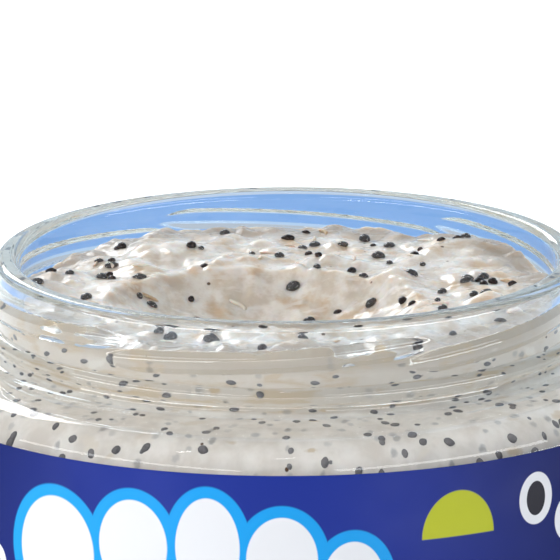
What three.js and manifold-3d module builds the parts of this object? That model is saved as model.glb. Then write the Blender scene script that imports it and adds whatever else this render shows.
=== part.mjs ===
// An open, wide-mouthed glass jar filled with pale coconut pudding that is full of soaked dark seeds.
// The jar stands on z = 0 with its axis on Z and +Z up. Its front, with the label's middle, faces -Y.
// All sizes are in millimetres.

import * as THREE from "three";
import { mergeVertices } from "three/addons/utils/BufferGeometryUtils.js";
import Module from "manifold-3d";

// Jar, outside
const HEIGHT = 86;
const BODY_RADIUS = 55.5;
const HEEL_ROUND = 6;
const FOOT_INNER_RADIUS = 39.5;
const PUSH_UP = 1.4;
const PUSH_UP_RADIUS = 36;
const SHOULDER_SLOPE = THREE.MathUtils.degToRad(7);
const SHOULDER_CORNER_WIDTH = 7.2;
const SHOULDER_CORNER_HEIGHT = 5.2;
const NECK_RADIUS = 43.2;
const NECK_FILLET = 1.8;
const NECK_FILLET_DROP = 11.7;

// Neck ring and lip. Heights are measured down from the top of the lip.
const RING_DROP = 10.3;
const RING_HALF_HEIGHT = 1.3;
const RING_PROUD = 1.3;
const LIP_RADIUS = 42.75;
const LIP_ROUND = 1.3;
const LIP_INNER_ROUND = 1.5;

// Jar, inside
const BORE_RADIUS = 39.2;
const BORE_FILLET = 2;
const BORE_LENGTH = 13.5;
const BODY_WALL = 2.9;
const INNER_SHOULDER_ROUND = 4.5;
const INNER_HEEL_ROUND = 5;
const FLOOR_HEIGHT = 5;
const FLOOR_RISE = 0.6;

// Screw ridges: six starts, each a tapered bar that climbs to the right
const RIDGES = 6;
const RIDGE_SPAN = THREE.MathUtils.degToRad(64);
const RIDGE_START = THREE.MathUtils.degToRad(-36.6);
const RIDGE_LOW_DROP = 6.8;
const RIDGE_HIGH_DROP = 4;
const RIDGE_HALF_WIDTH = 1.45;
const RIDGE_PROUD = 0.95;
const RIDGE_ROOT_DEPTH = 0.2;
const RIDGE_TAPER = 0.13;
const RIDGE_TIP_SIZE = 0.06;

// Label: a wrap whose ends stop short of each other at the back
const LABEL_BOTTOM = 14;
const LABEL_TOP = 67.7;
const LABEL_THICKNESS = 0.2;
const LABEL_CLEARANCE = 0.1;
const LABEL_GAP = 4;

// Pudding
const WALL_CLEARANCE = 0.3;
const PUDDING_LEVEL = 80.5;
const HOLLOW = { x: -4, y: -6, halfWidth: 23, halfDepth: 18, depth: 8.5, steepness: 0.95 };
const RIGHT_PEAK = { x: 27.5, y: 23, radius: 7, height: 1.9 };
const LEFT_MOUND = { x: -17, y: 22, radius: 9, height: 1.2 };
const LEFT_DIP = { x: -31, y: 17, radius: 6, height: -1.1 };
const LUMPS = 44;
const LUMP_HEIGHT = 0.75;
const LUMP_RADIUS = 3.4;
const LUMP_TURN_SWAY = 0.3;
const LUMP_RADIUS_SWAY = 0.35;
const LUMP_MEAN_HEIGHT = 0.35;

// Seeds that lie in the top of the pudding
const SEED_LENGTH = 1.9;
const SEED_WIDTH = 1.35;
const SEED_THICKNESS = 1.2;
const SEED_SUNK = 0.48;
const SPREAD_SEEDS = 50;
const SPREAD_SHIFT = 0.6;
const SPREAD_TURN = 0.9;
const SPREAD_SWAY = 0.35;
const SPREAD_SIZE = 0.95;
const SPREAD_SIZE_SWAY = 0.12;
const SEED_EDGE_MARGIN = 2.2;
const CLUSTER = { x: 28, y: 4.5, seeds: 6, spacing: 2.1 };
const PAIR = { x: -27.5, y: 10, seeds: 2, spacing: 1.9 };

// Fineness of the round forms
const AROUND = 60;
const ROUND_STEPS = 4;
const FILLET_STEPS = 3;
const RING_STEPS = 6;
const TOP_RINGS = 13;
const RIDGE_SIDES = 8;
const RIDGE_STEPS = 13;
const SLOPE_STEP = 0.6;
const TOP_TOLERANCE = 0.01;
const MERGE_DISTANCE = 1e-4;

// Scattering: a turn that never lines up, the wave's numbers, and one series for each use
const GOLDEN_ANGLE = Math.PI * (3 - Math.sqrt(5));
const WAVE = { perIndex: 12.9898, perSeries: 78.233, gain: 43758.5453 };
const LUMP_TURNS = 1;
const LUMP_RADII = 2;
const LUMP_HEIGHTS = 3;
const SEED_TURNS = 4;
const SEED_SIZES = 5;
const SEED_HEADINGS = 6;
const GROUP_HEADINGS = 7;

const QUARTER = Math.PI / 2;

const wasm = await Module();
wasm.setup();

/** A closed three.js geometry as a solid that can be joined and cut. */
function toSolid(geometry) {
  const bare = geometry.clone();
  bare.deleteAttribute("normal");
  bare.deleteAttribute("uv");
  const merged = mergeVertices(bare, MERGE_DISTANCE);
  return new wasm.Manifold(
    new wasm.Mesh({
      numProp: 3,
      vertProperties: new Float32Array(merged.attributes.position.array),
      triVerts: new Uint32Array(merged.index.array),
    }),
  );
}

/** A joined solid as a three.js geometry with flat faces. */
function toGeometry(solid) {
  const mesh = solid.getMesh();
  const geometry = new THREE.BufferGeometry();
  const places = new THREE.BufferAttribute(mesh.vertProperties, mesh.numProp);
  geometry.setAttribute("position", places);
  geometry.setIndex(new THREE.BufferAttribute(mesh.triVerts, 1));
  const faces = geometry.toNonIndexed();
  faces.computeVertexNormals();
  return faces;
}

/** Points of an oval's arc in the (radius, height) plane, both ends included. */
function ovalArc(radius, height, wide, high, from, to, steps) {
  const points = [];
  for (let k = 0; k <= steps; k += 1) {
    const angle = THREE.MathUtils.lerp(from, to, k / steps);
    points.push(
      new THREE.Vector2(
        radius + wide * Math.cos(angle),
        height + high * Math.sin(angle),
      ),
    );
  }
  return points;
}

/** Points of a circle's arc in the (radius, height) plane, both ends included. */
function arc(radius, height, round, from, to, steps) {
  return ovalArc(radius, height, round, round, from, to, steps);
}

/** Turns a (radius, height) profile about Z. */
function turn(profile, segments) {
  return new THREE.LatheGeometry(profile, segments).rotateX(QUARTER);
}

/** The shoulder's rounded corner, from the body's upright wall up to the sloping part. */
function shoulderCorner(slopeStart) {
  const tangent = Math.tan(SHOULDER_SLOPE);
  const wide = SHOULDER_CORNER_WIDTH;
  const high = SHOULDER_CORNER_HEIGHT;
  const end = Math.atan2(high, wide * tangent);
  const middle = BODY_RADIUS - wide;
  const run = middle + wide * Math.cos(end) - slopeStart.x;
  const height = slopeStart.y - run * tangent - high * Math.sin(end);
  return ovalArc(middle, height, wide, high, 0, end, ROUND_STEPS);
}

/** The jar's outer profile, from the middle of its underside up to the lip's flat top. */
function outerProfile() {
  const footRadius = BODY_RADIUS - HEEL_ROUND;
  const fillet = arc(
    NECK_RADIUS + NECK_FILLET,
    HEIGHT - NECK_FILLET_DROP,
    NECK_FILLET,
    3 * QUARTER - SHOULDER_SLOPE,
    2 * QUARTER,
    FILLET_STEPS,
  );
  const ringZ = HEIGHT - RING_DROP;
  const ring = [];
  for (let k = 0; k <= RING_STEPS; k += 1) {
    const share = (2 * k) / RING_STEPS - 1;
    const proud = RING_PROUD * Math.sqrt(Math.max(0, 1 - share * share));
    ring.push(
      new THREE.Vector2(NECK_RADIUS + proud, ringZ + share * RING_HALF_HEIGHT),
    );
  }
  return [
    new THREE.Vector2(0, PUSH_UP),
    new THREE.Vector2(PUSH_UP_RADIUS, PUSH_UP),
    new THREE.Vector2(FOOT_INNER_RADIUS, 0),
    ...arc(footRadius, HEEL_ROUND, HEEL_ROUND, -QUARTER, 0, ROUND_STEPS),
    ...shoulderCorner(fillet[0]),
    ...fillet,
    ...ring,
    ...arc(LIP_RADIUS - LIP_ROUND, HEIGHT - LIP_ROUND, LIP_ROUND, 0, QUARTER, ROUND_STEPS),
  ];
}

/** The jar's inner profile, from under the lip down to the middle of the floor, drawn in by clearance. */
function innerProfile(clearance) {
  const bore = BORE_RADIUS - clearance;
  const boreFillet = BORE_FILLET + clearance;
  const boreZ = HEIGHT - BORE_LENGTH;
  const inner = BODY_RADIUS - BODY_WALL - clearance;
  const leaning = QUARTER - SHOULDER_SLOPE;
  const fillet = arc(
    bore + boreFillet,
    boreZ,
    boreFillet,
    2 * QUARTER,
    3 * QUARTER - SHOULDER_SLOPE,
    FILLET_STEPS,
  );
  const filletEnd = fillet[fillet.length - 1];
  const cornerRadius = BODY_RADIUS - BODY_WALL - INNER_SHOULDER_ROUND;
  const round = INNER_SHOULDER_ROUND - clearance;
  const run = cornerRadius + round * Math.cos(leaning) - filletEnd.x;
  const cornerZ =
    filletEnd.y - run * Math.tan(SHOULDER_SLOPE) - round * Math.sin(leaning);
  const heelRound = INNER_HEEL_ROUND - clearance;
  return [
    ...fillet,
    ...arc(cornerRadius, cornerZ, round, leaning, 0, FILLET_STEPS),
    ...arc(
      inner - heelRound,
      FLOOR_HEIGHT + INNER_HEEL_ROUND,
      heelRound,
      0,
      -QUARTER,
      ROUND_STEPS,
    ),
    new THREE.Vector2(0, FLOOR_HEIGHT + FLOOR_RISE + clearance),
  ];
}

/** A bar bent round the neck: it climbs as it goes and both its ends taper to a point. */
function ridgeGeometry(startAngle) {
  const bar = new THREE.CylinderGeometry(1, 1, 1, RIDGE_SIDES, RIDGE_STEPS);
  const place = bar.attributes.position;
  const rootRadius = LIP_RADIUS - RIDGE_ROOT_DEPTH;
  for (let k = 0; k < place.count; k += 1) {
    const along = place.getY(k) + 0.5;
    const ends = Math.min(1, Math.min(along, 1 - along) / RIDGE_TAPER);
    const size = RIDGE_TIP_SIZE + (1 - RIDGE_TIP_SIZE) * Math.sin(QUARTER * ends);
    const out = (RIDGE_PROUD + RIDGE_ROOT_DEPTH) * size * place.getX(k);
    const drop = THREE.MathUtils.lerp(RIDGE_LOW_DROP, RIDGE_HIGH_DROP, along);
    const angle = startAngle + along * RIDGE_SPAN;
    const radius = rootRadius + out;
    place.setXYZ(
      k,
      radius * Math.sin(angle),
      -radius * Math.cos(angle),
      HEIGHT - drop + RIDGE_HALF_WIDTH * size * place.getZ(k),
    );
  }
  return bar;
}

/** The clear jar, with its screw ridges joined on. */
function jarGeometry() {
  const innerEdge = BORE_RADIUS + LIP_INNER_ROUND;
  const lipTop = HEIGHT - LIP_INNER_ROUND;
  const profile = [
    ...outerProfile(),
    ...arc(innerEdge, lipTop, LIP_INNER_ROUND, QUARTER, 2 * QUARTER, FILLET_STEPS),
    ...innerProfile(0),
  ];
  let jar = toSolid(turn(profile, AROUND));
  for (let k = 0; k < RIDGES; k += 1) {
    const start = RIDGE_START + (k * 2 * Math.PI) / RIDGES;
    jar = jar.add(toSolid(ridgeGeometry(start)));
  }
  return toGeometry(jar);
}

/** The wrap label: a thin sleeve with a narrow upright gap at the back. */
function labelGeometry() {
  const inside = BODY_RADIUS + LABEL_CLEARANCE;
  const outside = inside + LABEL_THICKNESS;
  const halfGap = LABEL_GAP / 2 / outside;
  const from = QUARTER + halfGap;
  const to = QUARTER - halfGap + 2 * Math.PI;
  const band = new THREE.Shape();
  band.absarc(0, 0, outside, from, to, false);
  band.absarc(0, 0, inside, to, from, true);
  band.closePath();
  const sleeve = new THREE.ExtrudeGeometry(band, {
    depth: LABEL_TOP - LABEL_BOTTOM,
    bevelEnabled: false,
    curveSegments: AROUND / 2,
  });
  return sleeve.translate(0, 0, LABEL_BOTTOM);
}

/** A smooth bump's height at a point, one at its centre and fading to nothing. */
function bump(x, y, centreX, centreY, radius) {
  const distance = Math.hypot(x - centreX, y - centreY) / radius;
  return Math.exp(-distance * distance);
}

/** A steady value from -1 to 1 for a whole number, so that every build scatters things alike. */
function scatter(index, series) {
  const wave = Math.sin(index * WAVE.perIndex + series * WAVE.perSeries) * WAVE.gain;
  return 2 * (wave - Math.floor(wave)) - 1;
}

/** Height of the pudding's top at a point: its level, the scooped hollow, its peaks and its lumps. */
function puddingTop(x, y) {
  const across = (x - HOLLOW.x) / HOLLOW.halfWidth;
  const deep = (y - HOLLOW.y) / HOLLOW.halfDepth;
  const inHollow = Math.max(0, 1 - across * across - deep * deep);
  let z = PUDDING_LEVEL - HOLLOW.depth * Math.pow(inHollow, HOLLOW.steepness);
  for (const form of [RIGHT_PEAK, LEFT_MOUND, LEFT_DIP])
    z += form.height * bump(x, y, form.x, form.y, form.radius);
  for (let k = 0; k < LUMPS; k += 1) {
    const far = BORE_RADIUS * Math.sqrt((k + 0.5) / LUMPS);
    const angle = k * GOLDEN_ANGLE + LUMP_TURN_SWAY * scatter(k, LUMP_TURNS);
    const radius = LUMP_RADIUS * (1 + LUMP_RADIUS_SWAY * scatter(k, LUMP_RADII));
    const height = LUMP_HEIGHT * (LUMP_MEAN_HEIGHT + scatter(k, LUMP_HEIGHTS));
    z += height * bump(x, y, far * Math.cos(angle), far * Math.sin(angle), radius);
  }
  return z;
}

/** One seed, lying along the surface at a point and turned by heading. */
function seedGeometry(x, y, heading, size) {
  const step = SLOPE_STEP;
  const slopeX = (puddingTop(x + step, y) - puddingTop(x - step, y)) / (2 * step);
  const slopeY = (puddingTop(x, y + step) - puddingTop(x, y - step)) / (2 * step);
  const up = new THREE.Vector3(-slopeX, -slopeY, 1).normalize();
  const lie = new THREE.Quaternion()
    .setFromUnitVectors(new THREE.Vector3(0, 0, 1), up)
    .multiply(new THREE.Quaternion().setFromAxisAngle(new THREE.Vector3(0, 0, 1), heading));
  const seed = new THREE.OctahedronGeometry(1, 1);
  seed.scale((SEED_LENGTH * size) / 2, (SEED_WIDTH * size) / 2, (SEED_THICKNESS * size) / 2);
  seed.applyQuaternion(lie);
  const lift = (0.5 - SEED_SUNK) * SEED_THICKNESS * size;
  const seat = new THREE.Vector3(x, y, puddingTop(x, y)).addScaledVector(up, lift);
  return seed.translate(seat.x, seat.y, seat.z);
}

/** The seeds in the top of the pudding: an even spread, and two groups that lie close together. */
function topSeeds() {
  const seeds = [];
  const reach = BORE_RADIUS - SEED_EDGE_MARGIN;
  for (let k = 0; k < SPREAD_SEEDS; k += 1) {
    const far = reach * Math.sqrt((k + SPREAD_SHIFT) / SPREAD_SEEDS);
    const angle = k * GOLDEN_ANGLE + SPREAD_TURN + SPREAD_SWAY * scatter(k, SEED_TURNS);
    const size = SPREAD_SIZE + SPREAD_SIZE_SWAY * scatter(k, SEED_SIZES);
    const heading = Math.PI * scatter(k, SEED_HEADINGS);
    seeds.push(seedGeometry(far * Math.cos(angle), far * Math.sin(angle), heading, size));
  }
  for (const [number, group] of [CLUSTER, PAIR].entries())
    for (let k = 0; k < group.seeds; k += 1) {
      const angle = (k * 2 * Math.PI) / Math.max(1, group.seeds - 1) + number;
      const far = k === 0 ? 0 : group.spacing;
      const x = group.x + far * Math.cos(angle);
      const y = group.y + far * Math.sin(angle);
      seeds.push(seedGeometry(x, y, Math.PI * scatter(k, GROUP_HEADINGS), 1));
    }
  return seeds;
}

/** The pudding: it fills the jar up to an uneven, scooped top, with the seeds joined on. */
function puddingGeometry() {
  const bore = BORE_RADIUS - WALL_CLEARANCE;
  const fill = innerProfile(WALL_CLEARANCE).reverse();
  const top = [];
  for (let k = 0; k <= TOP_RINGS; k += 1)
    top.push(new THREE.Vector2(bore * (1 - k / TOP_RINGS), PUDDING_LEVEL));
  const body = turn([...fill, ...top], AROUND);
  const place = body.attributes.position;
  for (let k = 0; k < place.count; k += 1)
    if (place.getZ(k) > PUDDING_LEVEL - TOP_TOLERANCE)
      place.setZ(k, puddingTop(place.getX(k), place.getY(k)));
  let pudding = toSolid(body);
  for (const seed of topSeeds()) pudding = pudding.add(toSolid(seed));
  return toGeometry(pudding);
}

const glass = new THREE.MeshStandardMaterial({
  color: 0xdfe9f0,
  roughness: 0.05,
  metalness: 0,
  transparent: true,
  opacity: 0.35,
});
const labelFilm = new THREE.MeshStandardMaterial({
  color: 0x2a3c99,
  roughness: 0.4,
  metalness: 0,
});
const coconutPudding = new THREE.MeshStandardMaterial({
  color: 0xe0d9d0,
  roughness: 0.35,
  metalness: 0,
});

/** A named piece of the jar. */
function piece(name, geometry, material) {
  const mesh = new THREE.Mesh(geometry, material);
  mesh.name = name;
  return mesh;
}

const filledJar = new THREE.Group();
filledJar.add(
  piece("jar", jarGeometry(), glass),
  piece("label", labelGeometry(), labelFilm),
  piece("pudding", puddingGeometry(), coconutPudding),
);

export default filledJar;
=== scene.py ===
"""Looks of an open glass jar of pale coconut pudding that is full of soaked dark seeds.

The jar stands on z = 0 with its axis on Z, and its front faces -Y. All sizes are in metres.
"""

import logging
import math
from collections.abc import Callable, Iterable, Sequence
from dataclasses import dataclass
from enum import Enum

import bpy
import numpy as np
from mathutils import Matrix, Vector, noise


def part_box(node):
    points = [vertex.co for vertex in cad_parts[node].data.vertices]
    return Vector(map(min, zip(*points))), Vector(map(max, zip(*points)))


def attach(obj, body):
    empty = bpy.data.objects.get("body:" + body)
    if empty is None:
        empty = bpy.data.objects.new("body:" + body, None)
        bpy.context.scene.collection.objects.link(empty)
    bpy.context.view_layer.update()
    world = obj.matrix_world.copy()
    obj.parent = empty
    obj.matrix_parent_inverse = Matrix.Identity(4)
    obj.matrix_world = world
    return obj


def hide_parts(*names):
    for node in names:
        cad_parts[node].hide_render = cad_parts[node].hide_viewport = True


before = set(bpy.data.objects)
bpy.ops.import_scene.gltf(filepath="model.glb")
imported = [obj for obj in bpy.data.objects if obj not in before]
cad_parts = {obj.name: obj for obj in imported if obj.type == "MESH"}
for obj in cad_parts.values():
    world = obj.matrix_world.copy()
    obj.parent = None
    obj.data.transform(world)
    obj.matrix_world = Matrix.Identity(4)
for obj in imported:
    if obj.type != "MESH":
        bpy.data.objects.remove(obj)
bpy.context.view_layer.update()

LOG = logging.getLogger("filled_jar")
MM = 0.001
TAU = 2 * math.pi
QUARTER = math.pi / 2
GOLDEN_ANGLE = math.pi * (3 - math.sqrt(5))
MERGE_GAP = 0.002 * MM
COPIES_SHARP = math.radians(60)
PICTURE_SIDE = 560
SENSOR_WIDTH = 36.0

Colour = tuple[float, float, float]
Span = tuple[float, float]
Point = tuple[float, float]
Point3 = tuple[float, float, float]
Socket = bpy.types.NodeSocket
Node = bpy.types.Node
Material = bpy.types.Material
Solid = bpy.types.Object
Value = Socket | float | Sequence[float]


class Slot(Enum):
    """The record's material slots."""

    GLASS = "clear_glass"
    FILM = "label_film"
    PUDDING = "coconut_pudding"


class CadNode(Enum):
    """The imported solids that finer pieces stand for."""

    JAR = "jar"
    LABEL = "label"
    PUDDING = "pudding"


def scatter(index: np.ndarray | float, salt: float) -> np.ndarray | float:
    """Gives a steady value from -1 to 1 for a whole number, the same in every run.

    Args:
        index: Number of the thing that is placed, or an array of them.
        salt: Picks one of many unlike series.

    Returns:
        The value, or an array of them.
    """
    wave = np.sin(index * 12.9898 + salt * 78.233) * 43758.5453
    return 2 * (wave - np.floor(wave)) - 1


def fraction(index: np.ndarray, salt: float) -> np.ndarray:
    """Gives the scattered values on a scale from 0 to 1."""
    return 0.5 + 0.5 * scatter(index, salt)


def uneven(index: np.ndarray, swing: float, salt: int) -> np.ndarray:
    """Gives three factors about 1 for each number, which differ from it by up to swing."""
    return 1 + swing * np.stack([scatter(index, salt + axis) for axis in range(3)], axis=1)


def smoothstep(value: np.ndarray, low: float, high: float) -> np.ndarray:
    """Rises smoothly from 0 at low to 1 at high.

    Args:
        value: Where the curve is read.
        low: Start of the rise.
        high: End of the rise.

    Returns:
        The curve's height at each value.
    """
    share = np.clip((value - low) / (high - low), 0, 1)
    return share * share * (3 - 2 * share)


@dataclass(frozen=True)
class Spiral:
    """Things spread over a disc in a sunflower's order, each swayed a little round it."""

    count: int
    inset: float
    start: float
    sway: float
    salt: int

    def places(self, reach: float) -> np.ndarray:
        """Gives the things' places.

        Args:
            reach: The disc's radius.

        Returns:
            A row of x and y for each.
        """
        number = np.arange(self.count)
        far = reach * np.sqrt((number + self.inset) / self.count)
        angle = number * GOLDEN_ANGLE + self.start + self.sway * scatter(number, self.salt)
        return np.stack([far * np.cos(angle), far * np.sin(angle)], axis=1)


def deselect_all() -> None:
    """Deselects every object and leaves edit mode."""
    if bpy.context.object and bpy.context.object.mode != "OBJECT":
        bpy.ops.object.mode_set(mode="OBJECT")
    bpy.ops.object.select_all(action="DESELECT")


def make_active(solid: Solid) -> None:
    """Makes one object the only selected and the active one.

    Args:
        solid: The object.
    """
    deselect_all()
    solid.select_set(True)
    bpy.context.view_layer.objects.active = solid


def open_mesh(solid: Solid, mode: str = "VERT") -> None:
    """Opens an object's mesh in edit mode, selected all over.

    Args:
        solid: Object to open.
        mode: VERT, EDGE or FACE.
    """
    make_active(solid)
    bpy.ops.object.mode_set(mode="EDIT")
    bpy.ops.mesh.select_mode(type=mode)
    bpy.ops.mesh.select_all(action="SELECT")


def close_mesh() -> None:
    """Leaves edit mode."""
    bpy.ops.object.mode_set(mode="OBJECT")


def pick_vertices(solid: Solid, test: Callable[[Vector], bool]) -> None:
    """Selects the vertices that pass a test and opens the mesh on them.

    Args:
        solid: Object whose vertices are picked.
        test: Says for a vertex's place whether it is picked.
    """
    make_active(solid)
    for part in (solid.data.vertices, solid.data.edges, solid.data.polygons):
        part.foreach_set("select", [False] * len(part))
    for vertex in solid.data.vertices:
        vertex.select = test(vertex.co)
    bpy.ops.object.mode_set(mode="EDIT")
    bpy.ops.mesh.select_mode(type="VERT")


def settle(solid: Solid, name: str) -> None:
    """Names an object and puts its place and turn into its mesh.

    Args:
        solid: The object.
        name: Its name, which its mesh gets too.
    """
    make_active(solid)
    bpy.ops.object.transform_apply(location=True, rotation=True, scale=True)
    solid.name = name
    solid.data.name = name


def smooth(solid: Solid, angle: float) -> None:
    """Shades an object smooth, apart from edges sharper than an angle in radians."""
    make_active(solid)
    bpy.ops.object.shade_smooth_by_angle(angle=angle)


def tidy_shell(solid: Solid) -> None:
    """Merges doubled vertices and points the faces outwards.

    Args:
        solid: A closed shell, or a profile.
    """
    open_mesh(solid)
    bpy.ops.mesh.remove_doubles(threshold=MERGE_GAP)
    bpy.ops.mesh.normals_make_consistent(inside=False)
    close_mesh()


def places_of(solid: Solid) -> np.ndarray:
    """Reads a mesh's vertex places.

    Args:
        solid: Object whose mesh is read.

    Returns:
        A row of x, y and z for each vertex.
    """
    flat = np.empty(len(solid.data.vertices) * 3)
    solid.data.vertices.foreach_get("co", flat)
    return flat.reshape(-1, 3)


def set_places(solid: Solid, places: np.ndarray) -> None:
    """Moves a mesh's vertices to new places."""
    solid.data.vertices.foreach_set("co", places.astype(np.float32).ravel())
    solid.data.update()


def draw_line(points: Sequence[Point], name: str) -> Solid:
    """Extrudes one vertex along a profile in the XZ plane.

    Args:
        points: The profile's (radius, height) points.
        name: Name for the new object.

    Returns:
        The profile as a line of edges.
    """
    deselect_all()
    radius, height = points[0]
    bpy.ops.mesh.primitive_plane_add(size=MM, location=(0, 0, 0))
    line = bpy.context.object
    line.name = name
    open_mesh(line)
    bpy.ops.mesh.merge(type="CENTER")
    bpy.ops.transform.translate(value=(radius, 0, height))
    for (from_r, from_z), (to_r, to_z) in zip(points, points[1:]):
        step = (to_r - from_r, 0, to_z - from_z)
        bpy.ops.mesh.extrude_region_move(TRANSFORM_OT_translate={"value": step})
    close_mesh()
    return line


def spin_line(line: Solid, steps: int, angle: float = TAU) -> None:
    """Spins a profile round the Z axis into a shell, and tidies that.

    Args:
        line: The profile, or the face that it bounds.
        steps: Number of steps round.
        angle: How far it is spun.
    """
    open_mesh(line)
    bpy.ops.mesh.spin(steps=steps, angle=angle, center=(0, 0, 0), axis=(0, 0, 1))
    close_mesh()
    tidy_shell(line)


def hand_over(solid: Solid, slot: Slot, materials: Sequence[Material], *stands_for: CadNode) -> Solid:
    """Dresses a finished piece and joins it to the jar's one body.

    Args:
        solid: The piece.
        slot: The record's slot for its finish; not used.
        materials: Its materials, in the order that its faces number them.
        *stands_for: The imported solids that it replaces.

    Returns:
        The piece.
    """
    for material in materials:
        solid.data.materials.append(material)
    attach(solid, "root")
    if stands_for:
        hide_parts(*(node.value for node in stands_for))
    LOG.info("%s: %d faces", solid.name, len(solid.data.polygons))
    return solid


@dataclass(frozen=True)
class Cloud:
    """Soft noise, mapped smoothly from low..high to start..end."""

    size: float
    detail: float
    rough: float
    low: float
    high: float
    start: float = 0.0
    end: float = 1.0


@dataclass(frozen=True)
class Relief:
    """Fine bumps in a surface: their size and octaves, their depth and the share that is kept."""

    size: float
    detail: float
    depth: float
    strength: float
    rough: float = 0.5


@dataclass(frozen=True)
class Specks:
    """Small round spots of one colour, in some of the cells of a pattern.

    A spot fades from its core to its edge, both in cell sizes, and only the cells whose own number
    is over rarity, from a first trace to full strength, have one.
    """

    colour: Colour
    spacing: float
    edge: float
    core: float
    rarity: Span
    strength: float = 1.0


class Sketch:
    """A material under construction, with short calls for its nodes."""

    def __init__(self, name: str) -> None:
        """Starts a material that holds one Principled shader.

        Args:
            name: The material's name.
        """
        self.material = bpy.data.materials.new(name)
        self.material.use_nodes = True
        self.nodes = self.material.node_tree.nodes
        self.links = self.material.node_tree.links
        self.place = self.add("ShaderNodeTexCoord").outputs["Object"]

    def feed(self, entry: Socket, value: Value) -> None:
        """Joins a socket to an input, or sets the input to a plain value.

        Args:
            entry: The input.
            value: The socket, number, vector or three-part colour that it gets.
        """
        if isinstance(value, Socket):
            self.links.new(value, entry)
        elif entry.type == "RGBA":
            entry.default_value = (*value, 1.0)
        else:
            entry.default_value = value

    def add(self, kind: str, *values: Value, **settings: object) -> Node:
        """Adds a node.

        Args:
            kind: Blender's name for the kind of node.
            *values: What its first inputs get.
            **settings: Its properties.

        Returns:
            The node.
        """
        node = self.nodes.new(kind)
        for name, value in settings.items():
            setattr(node, name, value)
        for entry, value in zip(node.inputs, values):
            self.feed(entry, value)
        return node

    def put(self, node: Node, **values: Value) -> None:
        """Feeds a node's inputs, named with underscores for spaces."""
        for name, value in values.items():
            self.feed(node.inputs[name.replace("_", " ")], value)

    def finish(self, **values: Value) -> Material:
        """Feeds the shader's inputs and gives the finished material."""
        self.put(self.nodes["Principled BSDF"], **values)
        return self.material

    def noise(self, size: float, detail: float, rough: float = 0.5, at: Socket | None = None) -> Socket:
        """Makes soft noise whose features are about size metres across.

        Args:
            size: Size of its features in metres.
            detail: Octaves of finer noise in it.
            rough: Share that each finer octave keeps.
            at: Place that it is read at, the piece's own by default.

        Returns:
            Its value, from 0 to 1.
        """
        node = self.add("ShaderNodeTexNoise")
        self.put(node, Vector=at or self.place, Scale=1 / size, Detail=detail, Roughness=rough)
        return node.outputs["Fac"]

    def cloud(self, cloud: Cloud, at: Socket | None = None) -> Socket:
        """Reads a cloud.

        Args:
            cloud: The cloud.
            at: Place that it is read at, the piece's own by default.

        Returns:
            Its mapped value.
        """
        value = self.noise(cloud.size, cloud.detail, cloud.rough, at)
        return self.ease(value, cloud.low, cloud.high, cloud.start, cloud.end)

    def bump(self, relief: Relief) -> Socket:
        """Bends the surface normal by fine bumps.

        Args:
            relief: The bumps.

        Returns:
            The bent normal.
        """
        node = self.add("ShaderNodeBump")
        height = self.noise(relief.size, relief.detail, relief.rough)
        self.put(node, Height=height, Distance=relief.depth, Strength=relief.strength)
        return node.outputs["Normal"]

    def math(self, operation: str, *values: Value) -> Socket:
        """Does one sum with numbers."""
        return self.add("ShaderNodeMath", *values, operation=operation).outputs[0]

    def vector(self, operation: str, *values: Value) -> Node:
        """Does one sum with places."""
        return self.add("ShaderNodeVectorMath", *values, operation=operation)

    def axes(self) -> tuple[Socket, ...]:
        """Gives the piece's own X, Y and Z."""
        return tuple(self.add("ShaderNodeSeparateXYZ", self.place).outputs)

    def stretched(self, factors: Point3) -> Socket:
        """Gives the piece's own place, multiplied along each axis."""
        return self.vector("MULTIPLY", self.place, factors).outputs[0]

    def attribute(self, name: str) -> Socket:
        """Reads a number that the mesh holds at each vertex."""
        return self.add("ShaderNodeAttribute", attribute_name=name).outputs["Fac"]

    def ease(self, value: Socket, low: float, high: float, start: float = 0.0, end: float = 1.0) -> Socket:
        """Maps a value smoothly from low..high to start..end.

        Args:
            value: What is mapped.
            low: Value that gives start.
            high: Value that gives end.
            start: Result at low and below it.
            end: Result at high and past it.

        Returns:
            The mapped value.
        """
        if low > high:
            low, high, start, end = high, low, end, start
        values = (value, low, high, start, end)
        return self.add("ShaderNodeMapRange", *values, interpolation_type="SMOOTHSTEP").outputs[0]

    def mix(self, share: Socket | float, first: Socket | Colour, second: Socket | Colour) -> Socket:
        """Mixes two colours.

        Args:
            share: Share of the second, from 0 to 1.
            first: Colour at 0.
            second: Colour at 1.

        Returns:
            The mixed colour.
        """
        node = self.add("ShaderNodeMix", share, data_type="RGBA")
        entries = [entry for entry in node.inputs if entry.type == "RGBA"]
        for entry, colour in zip(entries, (first, second)):
            self.feed(entry, colour)
        return next(out for out in node.outputs if out.type == "RGBA")

    def speckle(self, base: Socket, specks: Specks) -> Socket:
        """Lays small round spots over a colour.

        Args:
            base: The colour.
            specks: The spots.

        Returns:
            The colour with them.
        """
        cells = self.add("ShaderNodeTexVoronoi")
        self.put(cells, Vector=self.place, Scale=1 / specks.spacing)
        spot = self.ease(cells.outputs["Distance"], specks.edge, specks.core, 0.0, specks.strength)
        chosen = self.ease(cells.outputs["Color"], *specks.rarity)
        return self.mix(self.math("MULTIPLY", spot, chosen), base, specks.colour)

    def inward(self, wobble: Cloud, edge: float, core: float, strength: float = 1.0) -> Socket:
        """Rises from a small shape's uneven edge to its core.

        Args:
            wobble: What makes the edge uneven.
            edge: Distance from the middle at which the rise starts, 1 at the rim.
            core: Distance at which it ends.
            strength: Its value there.

        Returns:
            The rise.
        """
        reach = self.math("ADD", self.attribute("rim"), self.cloud(wobble))
        return self.ease(reach, edge, core, 0.0, strength)


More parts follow.
